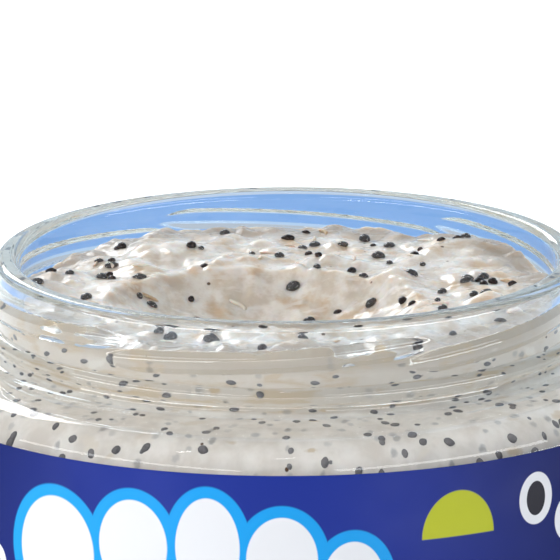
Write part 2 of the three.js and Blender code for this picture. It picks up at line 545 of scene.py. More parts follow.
@dataclass(frozen=True)
class ClearGlass:
    """Clear pressed glass with the faint waves of its mould, bluer where it is seen edge on."""

    tint: Colour = (0.985, 0.993, 1.0)
    depth_tint: Colour = (0.5, 0.815, 1.0)
    depth_density: float = 28
    index: float = 1.5
    waves: Relief = Relief(9 * MM, 1, 0.03 * MM, 0.2)

    def material(self) -> Material:
        """Makes the glass.

        Returns:
            Its material.
        """
        sketch = Sketch("pressed_glass")
        depth = sketch.add("ShaderNodeVolumeAbsorption")
        sketch.put(depth, Color=self.depth_tint, Density=self.depth_density)
        sketch.links.new(depth.outputs["Volume"], sketch.nodes["Material Output"].inputs["Volume"])
        return sketch.finish(
            Base_Color=self.tint,
            Roughness=0.0,
            IOR=self.index,
            Transmission_Weight=1.0,
            Normal=sketch.bump(self.waves),
        )


@dataclass(frozen=True)
class PuddingFinish:
    """Off-white coconut pudding: cream, whiter curds, warm patches and tiny brown specks.

    The open top is wet, and painted shade darkens it close to the glass. Against the glass the
    pudding is calm and pale, with tan smears in the neck and painted shade high up at the front. Its
    zones are the heights, radii or depths where they start and where they are full.
    """

    cream: Colour = (0.62, 0.54, 0.45)
    curd: Colour = (0.77, 0.72, 0.66)
    curd_cloud: Cloud = Cloud(3.6 * MM, 4, 0.6, 0.36, 0.62)
    warm: Colour = (0.58, 0.41, 0.25)
    warm_cloud: Cloud = Cloud(6 * MM, 4, 0.6, 0.49, 0.67, 0.0, 0.7)
    strand_cloud: Cloud = Cloud(1.6 * MM, 3, 0.6, 0.55, 0.66, 0.0, 0.6)
    strand_stretch: Point3 = (0.25, 1.3, 1.0)
    # Painted shade near the glass: its colour, the radii where it starts and is full, and its share.
    painted_rim_shade: Colour = (0.36, 0.3, 0.24)
    rim_shade_radii: Span = (31 * MM, 37 * MM)
    rim_shade_share: float = 0.85
    gloss_cloud: Cloud = Cloud(2.2 * MM, 3, 0.5, 0.4, 0.62, 0.12, 0.42)
    curd_relief: Relief = Relief(2.4 * MM, 2, 0.2 * MM, 0.5)
    wet_relief: Relief = Relief(1.0 * MM, 1, 0.2 * MM, 0.7)
    side_cream: Colour = (0.62, 0.53, 0.44)
    side_curd: Colour = (0.75, 0.665, 0.575)
    side_cloud: Cloud = Cloud(4 * MM, 4, 0.6, 0.3, 0.7)
    neck_cream: Colour = (0.6, 0.5, 0.4)
    neck_zone: Span = (71.2 * MM, 72.4 * MM)
    neck_share: float = 0.75
    # Painted shade high in the neck at the front: its colour, heights, share and depths.
    front_shade_cream: Colour = (0.42, 0.33, 0.24)
    front_shade_heights: Span = (77.5 * MM, 79.5 * MM)
    front_shade_share: float = 0.6
    front_shade_depths: Span = (-12 * MM, -28 * MM)
    tan: Colour = (0.56, 0.42, 0.28)
    tan_cloud: Cloud = Cloud(7 * MM, 3, 0.6, 0.62, 0.78, 0.0, 0.35)
    smear_cloud: Cloud = Cloud(9 * MM, 4, 0.6, 0.5, 0.62, 0.0, 0.8)
    smear_stretch: Point3 = (1, 1, 4)
    brown_specks: Specks = Specks((0.1, 0.05, 0.025), 3.4 * MM, 0.1, 0.06, (0.62, 0.64))
    sunken_seeds: Specks = Specks((0.26, 0.24, 0.23), 4.6 * MM, 0.2, 0.07, (0.5, 0.56), 0.5)

    def speckled(self, sketch: Sketch, base: Socket) -> Socket:
        """Adds tiny brown specks and the faint spots of seeds that lie under the surface."""
        return sketch.speckle(sketch.speckle(base, self.brown_specks), self.sunken_seeds)

    def side_colour(self, sketch: Sketch) -> Socket:
        """Gives the colour against the glass, with painted shade high up at the front.

        Args:
            sketch: The material.

        Returns:
            The colour.
        """
        _, y, z = sketch.axes()
        in_neck = sketch.ease(z, *self.neck_zone)
        toning = sketch.math("MULTIPLY", in_neck, self.neck_share)
        # Painted shade: darker, browner cream high up at the front.
        upper = sketch.ease(z, *self.front_shade_heights, 0.0, self.front_shade_share)
        shading = sketch.math("MULTIPLY", upper, sketch.ease(y, *self.front_shade_depths))
        streaks = sketch.cloud(self.smear_cloud, sketch.stretched(self.smear_stretch))
        colour = sketch.mix(sketch.cloud(self.side_cloud), self.side_cream, self.side_curd)
        colour = sketch.mix(toning, colour, self.neck_cream)
        colour = sketch.mix(shading, colour, self.front_shade_cream)
        colour = sketch.mix(sketch.cloud(self.tan_cloud), colour, self.tan)
        colour = sketch.mix(sketch.math("MULTIPLY", streaks, in_neck), colour, self.tan)
        return self.speckled(sketch, colour)

    def top_material(self) -> Material:
        """Makes the wet, open surface.

        Returns:
            Its material.
        """
        sketch = Sketch("pudding_open")
        squares = [sketch.math("MULTIPLY", axis, axis) for axis in sketch.axes()[:2]]
        radius = sketch.math("SQRT", sketch.math("ADD", *squares))
        strands = sketch.cloud(self.strand_cloud, sketch.stretched(self.strand_stretch))
        colour = sketch.mix(sketch.cloud(self.curd_cloud), self.cream, self.curd)
        colour = sketch.mix(sketch.cloud(self.warm_cloud), colour, self.warm)
        colour = sketch.mix(strands, colour, self.curd)
        # Painted shade: the open top darkens towards the glass.
        colour = sketch.mix(sketch.ease(radius, *self.rim_shade_radii, 0.0, self.rim_shade_share), colour, self.painted_rim_shade)
        return sketch.finish(
            Base_Color=self.speckled(sketch, colour),
            Roughness=sketch.cloud(self.gloss_cloud),
            Subsurface_Weight=0.75,
            Subsurface_Radius=(1.0, 0.72, 0.5),
            Subsurface_Scale=2.6 * MM,
            IOR=1.38,
            Specular_IOR_Level=0.35,
            Coat_Weight=0.3,
            Coat_Roughness=0.04,
            Coat_Normal=sketch.bump(self.wet_relief),
            Normal=sketch.bump(self.curd_relief),
        )

    def side_material(self) -> Material:
        """Makes the surface that is pressed against the glass, which has no shine of its own.

        Returns:
            Its material.
        """
        sketch = Sketch("pudding_on_glass")
        return sketch.finish(
            Base_Color=self.side_colour(sketch),
            Roughness=0.75,
            Specular_IOR_Level=0.0,
            Subsurface_Weight=0.2,
            Subsurface_Radius=(1.0, 0.75, 0.55),
            Subsurface_Scale=1.2 * MM,
        )


@dataclass(frozen=True)
class SeedFinish:
    """Charcoal seed coats with paler mottling, fainter where they lie in the pudding."""

    dark: Colour = (0.014, 0.008, 0.007)
    pale: Colour = (0.075, 0.048, 0.038)
    mottle: Cloud = Cloud(0.5 * MM, 3, 0.7, 0.45, 0.65)
    gloss: Span = (0.2, 0.36)
    relief: Relief = Relief(0.22 * MM, 2, 0.04 * MM, 0.6)
    pressed_dark: Colour = (0.125, 0.11, 0.105)
    pressed_pale: Colour = (0.36, 0.325, 0.3)
    pressed_grey: Colour = (0.26, 0.235, 0.22)
    pressed_mottle: Cloud = Cloud(0.45 * MM, 3, 0.7, 0.35, 0.75, 0.0, 0.35)
    pressed_relief: Relief = Relief(0.3 * MM, 2, 0.03 * MM, 0.5)
    deep: Colour = (0.13, 0.12, 0.12)
    deep_wobble: Cloud = Cloud(0.7 * MM, 2, 0.5, 0.3, 0.7, -0.12, 0.12)

    def material(self) -> Material:
        """Makes the wet seed coat of the open seeds.

        Returns:
            Its material.
        """
        sketch = Sketch("seed_coat")
        mottle = sketch.cloud(self.mottle)
        shade = sketch.math("MULTIPLY", mottle, sketch.attribute("shade"))
        return sketch.finish(
            Base_Color=sketch.mix(shade, self.dark, self.pale),
            Roughness=sketch.ease(mottle, 0.0, 1.0, *self.gloss),
            Specular_IOR_Level=0.3,
            Coat_Weight=0.15,
            Coat_Roughness=0.05,
            Normal=sketch.bump(self.relief),
        )

    def pressed_material(self) -> Material:
        """Makes the coat of the seeds that lie against the glass, softened by their gel.

        Returns:
            Its material.
        """
        sketch = Sketch("seed_on_glass")
        coat = sketch.mix(sketch.attribute("shade"), self.pressed_dark, self.pressed_pale)
        return sketch.finish(
            Base_Color=sketch.mix(sketch.cloud(self.pressed_mottle), coat, self.pressed_grey),
            Roughness=0.7,
            Specular_IOR_Level=0.0,
            Normal=sketch.bump(self.pressed_relief),
        )

    def deep_material(self, pudding: PuddingFinish) -> Material:
        """Makes the faint spots of the seeds that lie deeper, with soft outlines.

        Args:
            pudding: The finish that their outlines fade into.

        Returns:
            Their material.
        """
        sketch = Sketch("seed_in_pudding")
        inward = sketch.inward(self.deep_wobble, edge=0.8, core=0.25)
        core = sketch.math("MULTIPLY", inward, sketch.attribute("shade"))
        colour = sketch.mix(core, pudding.side_colour(sketch), self.deep)
        return sketch.finish(Base_Color=colour, Roughness=0.75, Specular_IOR_Level=0.0)


@dataclass(frozen=True)
class GelFinish:
    """Clear, wet gel round soaked seeds."""

    tint: Colour = (0.93, 0.91, 0.88)
    gloss: Cloud = Cloud(1.5 * MM, 2, 0.5, 0.3, 0.7, 0.04, 0.2)
    relief: Relief = Relief(0.6 * MM, 2, 0.05 * MM, 0.5)

    def material(self) -> Material:
        """Makes the gel.

        Returns:
            Its material.
        """
        sketch = Sketch("seed_gel")
        return sketch.finish(
            Base_Color=self.tint,
            Roughness=sketch.cloud(self.gloss),
            IOR=1.36,
            Transmission_Weight=0.96,
            Normal=sketch.bump(self.relief),
        )


@dataclass(frozen=True)
class CoconutFinish:
    """Coconut shreds and toasted bits, from off-white to tan."""

    pale: Colour = (0.72, 0.64, 0.54)
    toasted: Colour = (0.5, 0.33, 0.17)
    wear: Cloud = Cloud(0.35 * MM, 3, 0.7, 0.2, 0.6, 0.5, 1.0)
    gloss: Cloud = Cloud(0.35 * MM, 3, 0.7, 0.3, 0.7, 0.3, 0.5)
    grain: Relief = Relief(0.35 * MM, 3, 0.05 * MM, 0.7, 0.7)
    pressed_wobble: Cloud = Cloud(0.9 * MM, 3, 0.5, 0.3, 0.7, -0.2, 0.2)

    def material(self) -> Material:
        """Makes the shreds' fibrous surface.

        Returns:
            Its material.
        """
        sketch = Sketch("coconut_shred")
        worn = sketch.math("MULTIPLY", sketch.attribute("shade"), sketch.cloud(self.wear))
        return sketch.finish(
            Base_Color=sketch.mix(worn, self.pale, self.toasted),
            Roughness=sketch.cloud(self.gloss),
            Subsurface_Weight=0.3,
            Subsurface_Scale=1.0 * MM,
            Normal=sketch.bump(self.grain),
        )

    def pressed_material(self, pudding: PuddingFinish) -> Material:
        """Makes the bits that lie against the glass, with soft outlines.

        Args:
            pudding: The finish that their outlines fade into.

        Returns:
            Their material.
        """
        sketch = Sketch("coconut_on_glass")
        toast = sketch.mix(sketch.attribute("shade"), self.pale, self.toasted)
        inward = sketch.inward(self.pressed_wobble, edge=0.95, core=0.3, strength=0.75)
        colour = sketch.mix(inward, pudding.side_colour(sketch), toast)
        return sketch.finish(Base_Color=colour, Roughness=0.75, Specular_IOR_Level=0.0)


@dataclass(frozen=True)
class JarForm:
    """The jar's sizes, shared by the glass and by what fills it. Drops are below the lip's top."""

    height: float
    body_radius: float
    heel_round: float = 6 * MM
    foot_inner_radius: float = 39.5 * MM
    push_up: float = 1.4 * MM
    push_up_radius: float = 36 * MM
    shoulder_slope: float = math.radians(7)
    corner_halves: Point = (7.2 * MM, 5.2 * MM)
    neck_radius: float = 43.2 * MM
    neck_fillet: float = 1.8 * MM
    neck_fillet_drop: float = 11.7 * MM
    ring_drop: float = 10.3 * MM
    ring_halves: Point = (1.3 * MM, 1.3 * MM)
    lip_radius: float = 42.75 * MM
    lip_round: float = 1.3 * MM
    lip_inner_round: float = 1.5 * MM
    bore_radius: float = 39.2 * MM
    bore_fillet: float = 2 * MM
    bore_length: float = 13.5 * MM
    body_wall: float = 2.9 * MM
    inner_shoulder_round: float = 4.5 * MM
    inner_heel_round: float = 5 * MM
    floor_height: float = 5 * MM
    floor_rise: float = 0.6 * MM
    outer_steps: int = 10
    corner_steps: int = 24
    ring_steps: int = 14
    ridge_steps: int = 60
    inner_steps: int = 8
    body_steps: int = 12
    slope_steps: int = 8
    floor_steps: int = 10
    bore_steps: int = 4

    @staticmethod
    def oval(middle: Point, halves: Point, start: float, end: float, steps: int) -> list[Point]:
        """Gives points along an oval.

        Args:
            middle: The oval's middle.
            halves: Its half width and half height.
            start: Angle of its first point.
            end: Angle of its last point.
            steps: Number of steps between them.

        Returns:
            The points, both ends included.
        """
        angles = [start + (end - start) * k / steps for k in range(steps + 1)]
        return [(middle[0] + halves[0] * math.cos(a), middle[1] + halves[1] * math.sin(a)) for a in angles]

    def arc(self, middle: Point, radius: float, start: float, end: float, steps: int) -> list[Point]:
        """Gives points along a circle, with the same arguments as for an oval."""
        return self.oval(middle, (radius, radius), start, end, steps)

    @staticmethod
    def divide(start: Point, end: Point, steps: int) -> list[Point]:
        """Gives the points inside a straight run, both ends left out."""
        shares = [k / steps for k in range(1, steps)]
        return [tuple(a + (b - a) * share for a, b in zip(start, end)) for share in shares]

    def corner(self, slope_start: Point) -> list[Point]:
        """Gives the shoulder's rounded corner.

        Args:
            slope_start: Where the sloping part of the shoulder starts, by the neck.

        Returns:
            The corner's points, from the body's upright wall up to the slope.
        """
        half_width, half_height = self.corner_halves
        tangent = math.tan(self.shoulder_slope)
        end = math.atan2(half_height, half_width * tangent)
        middle = self.body_radius - half_width
        run = middle + half_width * math.cos(end) - slope_start[0]
        height = slope_start[1] - run * tangent - half_height * math.sin(end)
        return self.oval((middle, height), self.corner_halves, 0, end, self.corner_steps)

    def outside(self) -> list[Point]:
        """Gives the outer profile.

        Returns:
            Its points, from under the foot's middle to the lip's flat top.
        """
        steps = self.outer_steps
        heel_middle = (self.body_radius - self.heel_round, self.heel_round)
        heel = self.arc(heel_middle, self.heel_round, -QUARTER, 0, steps)
        fillet_middle = (self.neck_radius + self.neck_fillet, self.height - self.neck_fillet_drop)
        leaning = 3 * QUARTER - self.shoulder_slope
        fillet = self.arc(fillet_middle, self.neck_fillet, leaning, 2 * QUARTER, steps)
        corner = self.corner(fillet[0])
        ring_middle = (self.neck_radius, self.height - self.ring_drop)
        ring = self.oval(ring_middle, self.ring_halves, -QUARTER, QUARTER, self.ring_steps)
        lip_middle = (self.lip_radius - self.lip_round, self.height - self.lip_round)
        lip = self.arc(lip_middle, self.lip_round, 0, QUARTER, steps)
        return [
            (0.0, self.push_up),
            (self.push_up_radius, self.push_up),
            (self.foot_inner_radius, 0.0),
            *heel,
            *self.divide(heel[-1], corner[0], self.body_steps),
            *corner,
            *self.divide(corner[-1], fillet[0], self.slope_steps),
            *fillet,
            *ring,
            *self.divide(ring[-1], lip[0], self.ridge_steps),
            *lip,
        ]

    def inside(self, reach: float = 0.0) -> list[Point]:
        """Gives the inner profile, from the bore's straight end down to the floor's middle.

        Args:
            reach: How far the profile lies inside the glass.

        Returns:
            The profile's points.
        """
        steps = self.inner_steps
        leaning = QUARTER - self.shoulder_slope
        fillet_round = self.bore_fillet - reach
        fillet_middle = (self.bore_radius + reach + fillet_round, self.height - self.bore_length)
        fillet = self.arc(fillet_middle, fillet_round, 2 * QUARTER, 2 * QUARTER + leaning, steps)
        corner_radius = self.body_radius - self.body_wall - self.inner_shoulder_round
        corner_round = self.inner_shoulder_round + reach
        run = corner_radius + corner_round * math.cos(leaning) - fillet[-1][0]
        corner_z = fillet[-1][1] - run * math.tan(self.shoulder_slope) - corner_round * math.sin(leaning)
        corner = self.arc((corner_radius, corner_z), corner_round, leaning, 0, steps)
        heel_round = self.inner_heel_round + reach
        inner_radius = self.body_radius - self.body_wall + reach
        heel_middle = (inner_radius - heel_round, self.floor_height + self.inner_heel_round)
        heel = self.arc(heel_middle, heel_round, 0, -QUARTER, steps)
        floor_middle = (0.0, self.floor_height + self.floor_rise - reach)
        return [
            *fillet,
            *self.divide(fillet[-1], corner[0], self.slope_steps),
            *corner,
            *self.divide(corner[-1], heel[0], 2 * steps),
            *heel,
            *self.divide(heel[-1], floor_middle, self.floor_steps),
            floor_middle,
        ]


@dataclass(frozen=True)
class ScrewRidges:
    """The lid's screw ridges: six tapered bars that climb to the right round the neck."""

    count: int = 6
    span: float = math.radians(64)
    start: float = math.radians(-36.6)
    low_drop: float = 6.8 * MM
    high_drop: float = 4 * MM
    half_width: float = 1.6 * MM
    proud: float = 0.65 * MM
    taper: float = 0.13
    tip_size: float = 0.06
    tip_width: float = 0.35
    flank: float = 0.8

    def height(self, angle: np.ndarray, drop: np.ndarray) -> np.ndarray:
        """Gives how far the ridges stand out of the neck.

        Args:
            angle: Angle round the neck from the front.
            drop: Distance below the lip's top.

        Returns:
            Their height at each place, 0 between them.
        """
        step = TAU / self.count
        along = np.mod(angle - self.start, step) / self.span
        height = np.zeros_like(angle)
        for back in (0.0, step / self.span):
            share = along + back
            ends = np.clip(np.minimum(share, 1 - share) / self.taper, 0, 1)
            size = self.tip_size + (1 - self.tip_size) * np.sin(QUARTER * ends)
            middle = self.low_drop + (self.high_drop - self.low_drop) * share
            half_width = self.half_width * (self.tip_width + (1 - self.tip_width) * size)
            edge = 1 - np.abs(drop - middle) / half_width
            cap = np.clip(edge / self.flank, 0, 1)
            bar = self.proud * size * cap * (2 - cap)
            height = np.maximum(height, np.where(share <= 1, bar, 0))
        return height


@dataclass
class GlassJar:
    """The clear jar."""

    form: JarForm
    finish: ClearGlass
    ridges: ScrewRidges = ScrewRidges()
    steps_round: int = 400
    lip_steps: int = 9
    ridge_zone: Span = (1.4 * MM, 8.9 * MM)
    sharp: float = math.radians(28)

    def raise_ridges(self, jar: Solid) -> None:
        """Presses the screw ridges out of the neck's outer wall.

        Args:
            jar: The plain jar.
        """
        places = places_of(jar)
        radius = np.hypot(places[:, 0], places[:, 1])
        drop = self.form.height - places[:, 2]
        low, high = self.ridge_zone
        outer = radius > self.form.lip_radius - self.form.lip_round / 2
        near = outer & (drop > low) & (drop < high)
        angle = np.arctan2(places[:, 0], -places[:, 1])
        raised = radius + self.ridges.height(angle, drop)
        places[:, :2] *= np.where(near, raised / radius.clip(MM), 1)[:, None]
        set_places(jar, places)

    def build(self) -> Solid:
        """Models the jar and joins it to the body.

        Returns:
            The finished piece.
        """
        form = self.form
        inner_lip = (form.bore_radius + form.lip_inner_round, form.height - form.lip_inner_round)
        lip = form.arc(inner_lip, form.lip_inner_round, QUARTER, 2 * QUARTER, self.lip_steps)
        inside = form.inside()
        bore = form.divide(lip[-1], inside[0], form.inner_steps)
        jar = draw_line([*form.outside(), *lip, *bore, *inside], "jar_glass")
        spin_line(jar, self.steps_round)
        self.raise_ridges(jar)
        settle(jar, "jar_glass")
        smooth(jar, self.sharp)
        jar.visible_shadow = False
        return hand_over(jar, Slot.GLASS, [self.finish.material()], CadNode.JAR)


@dataclass(frozen=True)
class Mound:
    """A smooth bump or dip in the pudding's top."""

    x: float
    y: float
    radius: float
    height: float

    def relief(self, x: np.ndarray, y: np.ndarray) -> np.ndarray:
        """Gives what it adds to the height at some places."""
        return self.height * np.exp(-((x - self.x) ** 2 + (y - self.y) ** 2) / self.radius**2)


@dataclass
class PuddingSurface:
    """The height of the pudding's top: its level, the scooped hollow, mounds, lumps and curds."""

    form: JarForm
    level: float = 80.5 * MM
    hollow: Point = (-4 * MM, -6 * MM)
    hollow_halves: Point = (23 * MM, 18 * MM)
    hollow_depth: float = 8.5 * MM
    hollow_steepness: float = 0.95
    calm: float = 0.35
    calm_zone: Span = (0.0, 0.5)
    mounds: tuple[Mound, ...] = (
        Mound(27.5 * MM, 23 * MM, 7 * MM, 1.9 * MM),
        Mound(-17 * MM, 22 * MM, 9 * MM, 1.2 * MM),
        Mound(-31 * MM, 17 * MM, 6 * MM, -1.1 * MM),
    )
    lumps: Spiral = Spiral(44, 0.5, 0.0, 0.3, salt=1)
    lump_height: float = 0.75 * MM
    lump_height_share: float = 0.35
    lump_radius: float = 3.4 * MM
    lump_radius_swing: float = 0.35
    swell_size: float = 6.5 * MM
    swell_shift: Point3 = (3, 7, 1)
    swell_height: float = 0.7 * MM
    curd_size: float = 4.2 * MM
    curd_height: float = 0.8 * MM
    curd_spread: float = 0.46
    curd_middle: float = 0.45
    curd_warp: float = 0.45
    curd_warp_size: float = 4 * MM
    grain_size: float = 1.5 * MM
    grain_height: float = 0.05 * MM
    grain_fractal: tuple[float, float, int] = (0.9, 2.1, 3)
    seed: int = 5
    slope_step: float = 0.6 * MM
    edge_drop: float = 1.6 * MM

    def bowl(self, x: np.ndarray, y: np.ndarray) -> np.ndarray:
        """Gives 1 in the hollow's middle, 0 at its edge and less outside it."""
        across = (x - self.hollow[0]) / self.hollow_halves[0]
        deep = (y - self.hollow[1]) / self.hollow_halves[1]
        return 1 - across**2 - deep**2

    def all_mounds(self) -> list[Mound]:
        """Gives the large mounds and the many lumps.

        Returns:
            The mounds and lumps.
        """
        lumps = []
        for k, (x, y) in enumerate(self.lumps.places(self.form.bore_radius)):
            radius = self.lump_radius * (1 + self.lump_radius_swing * scatter(k, 2))
            height = self.lump_height * (self.lump_height_share + scatter(k, 3))
            lumps.append(Mound(x, y, radius, height))
        return [*self.mounds, *lumps]

    def coarse(self, x: np.ndarray, y: np.ndarray) -> np.ndarray:
        """Gives the height without the curds, as in the solid that the jar was packed with.

        Args:
            x: Places along X.
            y: Places along Y.

        Returns:
            The heights.
        """
        inside = np.clip(self.bowl(x, y), 0, None)
        hollowed = self.level - self.hollow_depth * inside**self.hollow_steepness
        return hollowed + sum(mound.relief(x, y) for mound in self.all_mounds())

    def curds(self, x: np.ndarray, y: np.ndarray) -> np.ndarray:
        """Gives the curds' relief, which is above and below the coarse height.

        Args:
            x: Places along X.
            y: Places along Y.

        Returns:
            The relief.
        """
        relief = np.empty(len(x))
        shift = Vector(self.swell_shift)
        noise.seed_set(self.seed)
        for k, (px, py) in enumerate(zip(x, y)):
            place = Vector((px, py, 0))
            warp = noise.noise_vector(place / self.curd_warp_size)
            near = noise.voronoi(place / self.curd_size + self.curd_warp * warp)[0][0]
            curd = math.exp(-((near / self.curd_spread) ** 2)) - self.curd_middle
            swell = noise.noise(place / self.swell_size + shift)
            grain = noise.fractal(place / self.grain_size, *self.grain_fractal)
            relief[k] = self.curd_height * curd + self.swell_height * swell + self.grain_height * grain
        return relief

    def at(self, x: np.ndarray, y: np.ndarray) -> np.ndarray:
        """Gives the full height, with curds that are calmer in the hollow."""
        calm = 1 - self.calm * smoothstep(self.bowl(x, y), *self.calm_zone)
        return self.coarse(x, y) + calm * self.curds(x, y)

    def frames(self, spots: np.ndarray) -> tuple[np.ndarray, np.ndarray]:
        """Gives places on the surface and the directions that it faces there.

        Args:
            spots: A row of x and y for each place.

        Returns:
            The places and the unit normals, a row for each.
        """
        x, y = spots.T
        step = self.slope_step
        slope_x = (self.coarse(x + step, y) - self.coarse(x - step, y)) / (2 * step)
        slope_y = (self.coarse(x, y + step) - self.coarse(x, y - step)) / (2 * step)
        normal = np.stack([-slope_x, -slope_y, np.ones_like(x)], axis=1)
        normal /= np.linalg.norm(normal, axis=1)[:, None]
        return np.stack([x, y, self.at(x, y)], axis=1), normal


@dataclass
class Pudding:
    """The pudding: it fills the jar up to an uneven, scooped top."""

    form: JarForm
    surface: PuddingSurface
    finish: PuddingFinish
    reach: float = 0.06 * MM
    cells_across: int = 250
    steps_round: int = 250
    collar_top: float = 77.5 * MM
    collar_bottom: float = 76.3 * MM
    open_bottom: float = 71.3 * MM
    rim_slack: float = 0.001 * MM
    level_slack: float = 0.01 * MM
    sharp: float = math.radians(50)

    def top_sheet(self) -> Solid:
        """Models the top: a fine square grid that is drawn round and then raised.

        Returns:
            The top, with a rim that drops a little way down the wall to where the collar starts.
        """
        deselect_all()
        cells = self.cells_across
        bpy.ops.mesh.primitive_grid_add(x_subdivisions=cells, y_subdivisions=cells, size=2)
        sheet = bpy.context.object
        square = places_of(sheet)
        across, deep = square[:, 0], square[:, 1]
        radius = self.form.bore_radius + self.reach
        x = radius * across * np.sqrt(1 - deep**2 / 2)
        y = radius * deep * np.sqrt(1 - across**2 / 2)
        set_places(sheet, np.stack([x, y, self.surface.at(x, y)], axis=1))
        pick_vertices(sheet, lambda place: math.hypot(place.x, place.y) > radius - self.rim_slack)
        bpy.ops.mesh.extrude_region_move()
        close_mesh()
        for vertex in sheet.data.vertices:
            if vertex.select:
                vertex.co.z = self.collar_top
        return sheet

    def wall(self) -> Solid:
        """Models the part under the collar, which is open at its top.

        Returns:
            The wall and floor, with the floor's middle closed.
        """
        bore = (self.form.bore_radius + self.reach, self.collar_bottom)
        inside = self.form.inside(self.reach)
        run = self.form.divide(bore, inside[0], self.form.bore_steps)
        wall = draw_line([bore, *run, *inside], "pudding_wall")
        spin_line(wall, self.steps_round)
        return wall

    def join_rims(self, sheet: Solid, wall: Solid) -> Solid:
        """Joins the two parts and bridges the open rims between them.

        Args:
            sheet: The top.
            wall: The rest.

        Returns:
            One closed piece.
        """
        make_active(sheet)
        wall.select_set(True)
        bpy.ops.object.join()
        body = bpy.context.object
        levels = (self.collar_top, self.collar_bottom)

        def on_rim(place: Vector) -> bool:
            """Says whether a place is on one of the two open rims."""
            off_level = min(abs(place.z - level) for level in levels)
            return math.hypot(place.x, place.y) > self.form.bore_radius and off_level < self.level_slack

        pick_vertices(body, on_rim)
        bpy.ops.mesh.select_mode(type="EDGE")
        bpy.ops.mesh.bridge_edge_loops()
        bpy.ops.mesh.select_all(action="SELECT")
        bpy.ops.mesh.normals_make_consistent(inside=False)
        close_mesh()
        return body

    def build(self) -> Solid:
        """Models the pudding and joins it to the body.

        Returns:
            The finished piece.
        """
        body = self.join_rims(self.top_sheet(), self.wall())
        settle(body, "pudding_body")
        smooth(body, self.sharp)
        for face in body.data.polygons:
            on_wall = math.hypot(face.center.x, face.center.y) > self.form.bore_radius
            face.material_index = int(on_wall or face.center.z < self.open_bottom)
        materials = [self.finish.top_material(), self.finish.side_material()]
        return hand_over(body, Slot.PUDDING, materials, CadNode.PUDDING)


class InnerWall:
    """The inside of the glass, read by the way along its profile and the angle round the jar."""

    def __init__(self, form: JarForm, top: float) -> None:
        """Takes the profile from a height in the bore down to the floor's middle.

        Args:
            form: The jar's sizes.
            top: Height where it starts.
        """
        start = (form.bore_radius, top)
        inside = form.inside()
        points = np.array([start, *form.divide(start, inside[0], form.bore_steps), *inside])
        runs = np.diff(points, axis=0)
        self.way = np.concatenate([[0], np.cumsum(np.hypot(*runs.T))])
        self.radius, self.height = points.T
        along = np.gradient(points, self.way, axis=0)
        along /= np.linalg.norm(along, axis=1)[:, None]
        self.out, self.up = -along[:, 1], along[:, 0]

    def read(self, way: np.ndarray, values: np.ndarray) -> np.ndarray:
        """Reads one of the profile's values at some way along it."""
        return np.interp(way, self.way, values)

    def at(self, way: np.ndarray, angle: np.ndarray, lift: np.ndarray) -> np.ndarray:
        """Gives places on the wall or at some distance from it.

        Args:
            way: Way along the profile.
            angle: Angle round the jar.
            lift: Distance outwards, into the glass.

        Returns:
            The places, with x, y and z last.
        """
        radius = self.read(way, self.radius) + lift * self.read(way, self.out)
        height = self.read(way, self.height) + lift * self.read(way, self.up)
        return np.stack([radius * np.cos(angle), radius * np.sin(angle), height], axis=-1)


def model_seed(segments: int, rings: int) -> Solid:
    """Models one seed: a sphere that narrows to one end.

    Args:
        segments: Steps round it.
        rings: Steps along it.

    Returns:
        The seed, with half lengths of 1.
    """
    deselect_all()
    bpy.ops.mesh.primitive_uv_sphere_add(segments=segments, ring_count=rings, radius=1)
    seed = bpy.context.object
    for start, factors in ((0.3, (1, 0.84, 0.84)), (0.7, (1.06, 0.8, 0.8))):
        pick_vertices(seed, lambda place: place.x > start)
        bpy.ops.transform.resize(value=factors, center_override=(start, 0, 0))
        close_mesh()
    return seed


def model_lens() -> Solid:
    """Models a lens: a rounded face of three steps, and a flat back.

    Returns:
        The lens, with half lengths of 1.
    """
    deselect_all()
    bpy.ops.mesh.primitive_circle_add(vertices=16, radius=1, fill_type="NGON")
    lens = bpy.context.object
    open_mesh(lens, "FACE")
    inner, height = 1.0, 0.0
    for radius, z in ((0.8, 0.6), (0.55, 0.835), (0.28, 0.96)):
        bpy.ops.mesh.extrude_region_move(TRANSFORM_OT_translate={"value": (0, 0, z - height)})
        share = radius / inner
        bpy.ops.transform.resize(value=(share, share, 1), center_override=(0, 0, z))
        inner, height = radius, z
    bpy.ops.mesh.poke()
    bpy.ops.mesh.select_all(action="DESELECT")
    close_mesh()
    return lens


@dataclass
class Lot:
    """How many copies of one shape lie: their headings, half lengths and shades."""

    headings: np.ndarray
    sizes: np.ndarray
    shades: np.ndarray

    def pick(self, chosen: np.ndarray) -> "Lot":
        """Gives the chosen copies alone."""
        return Lot(self.headings[chosen], self.sizes[chosen], self.shades[chosen])


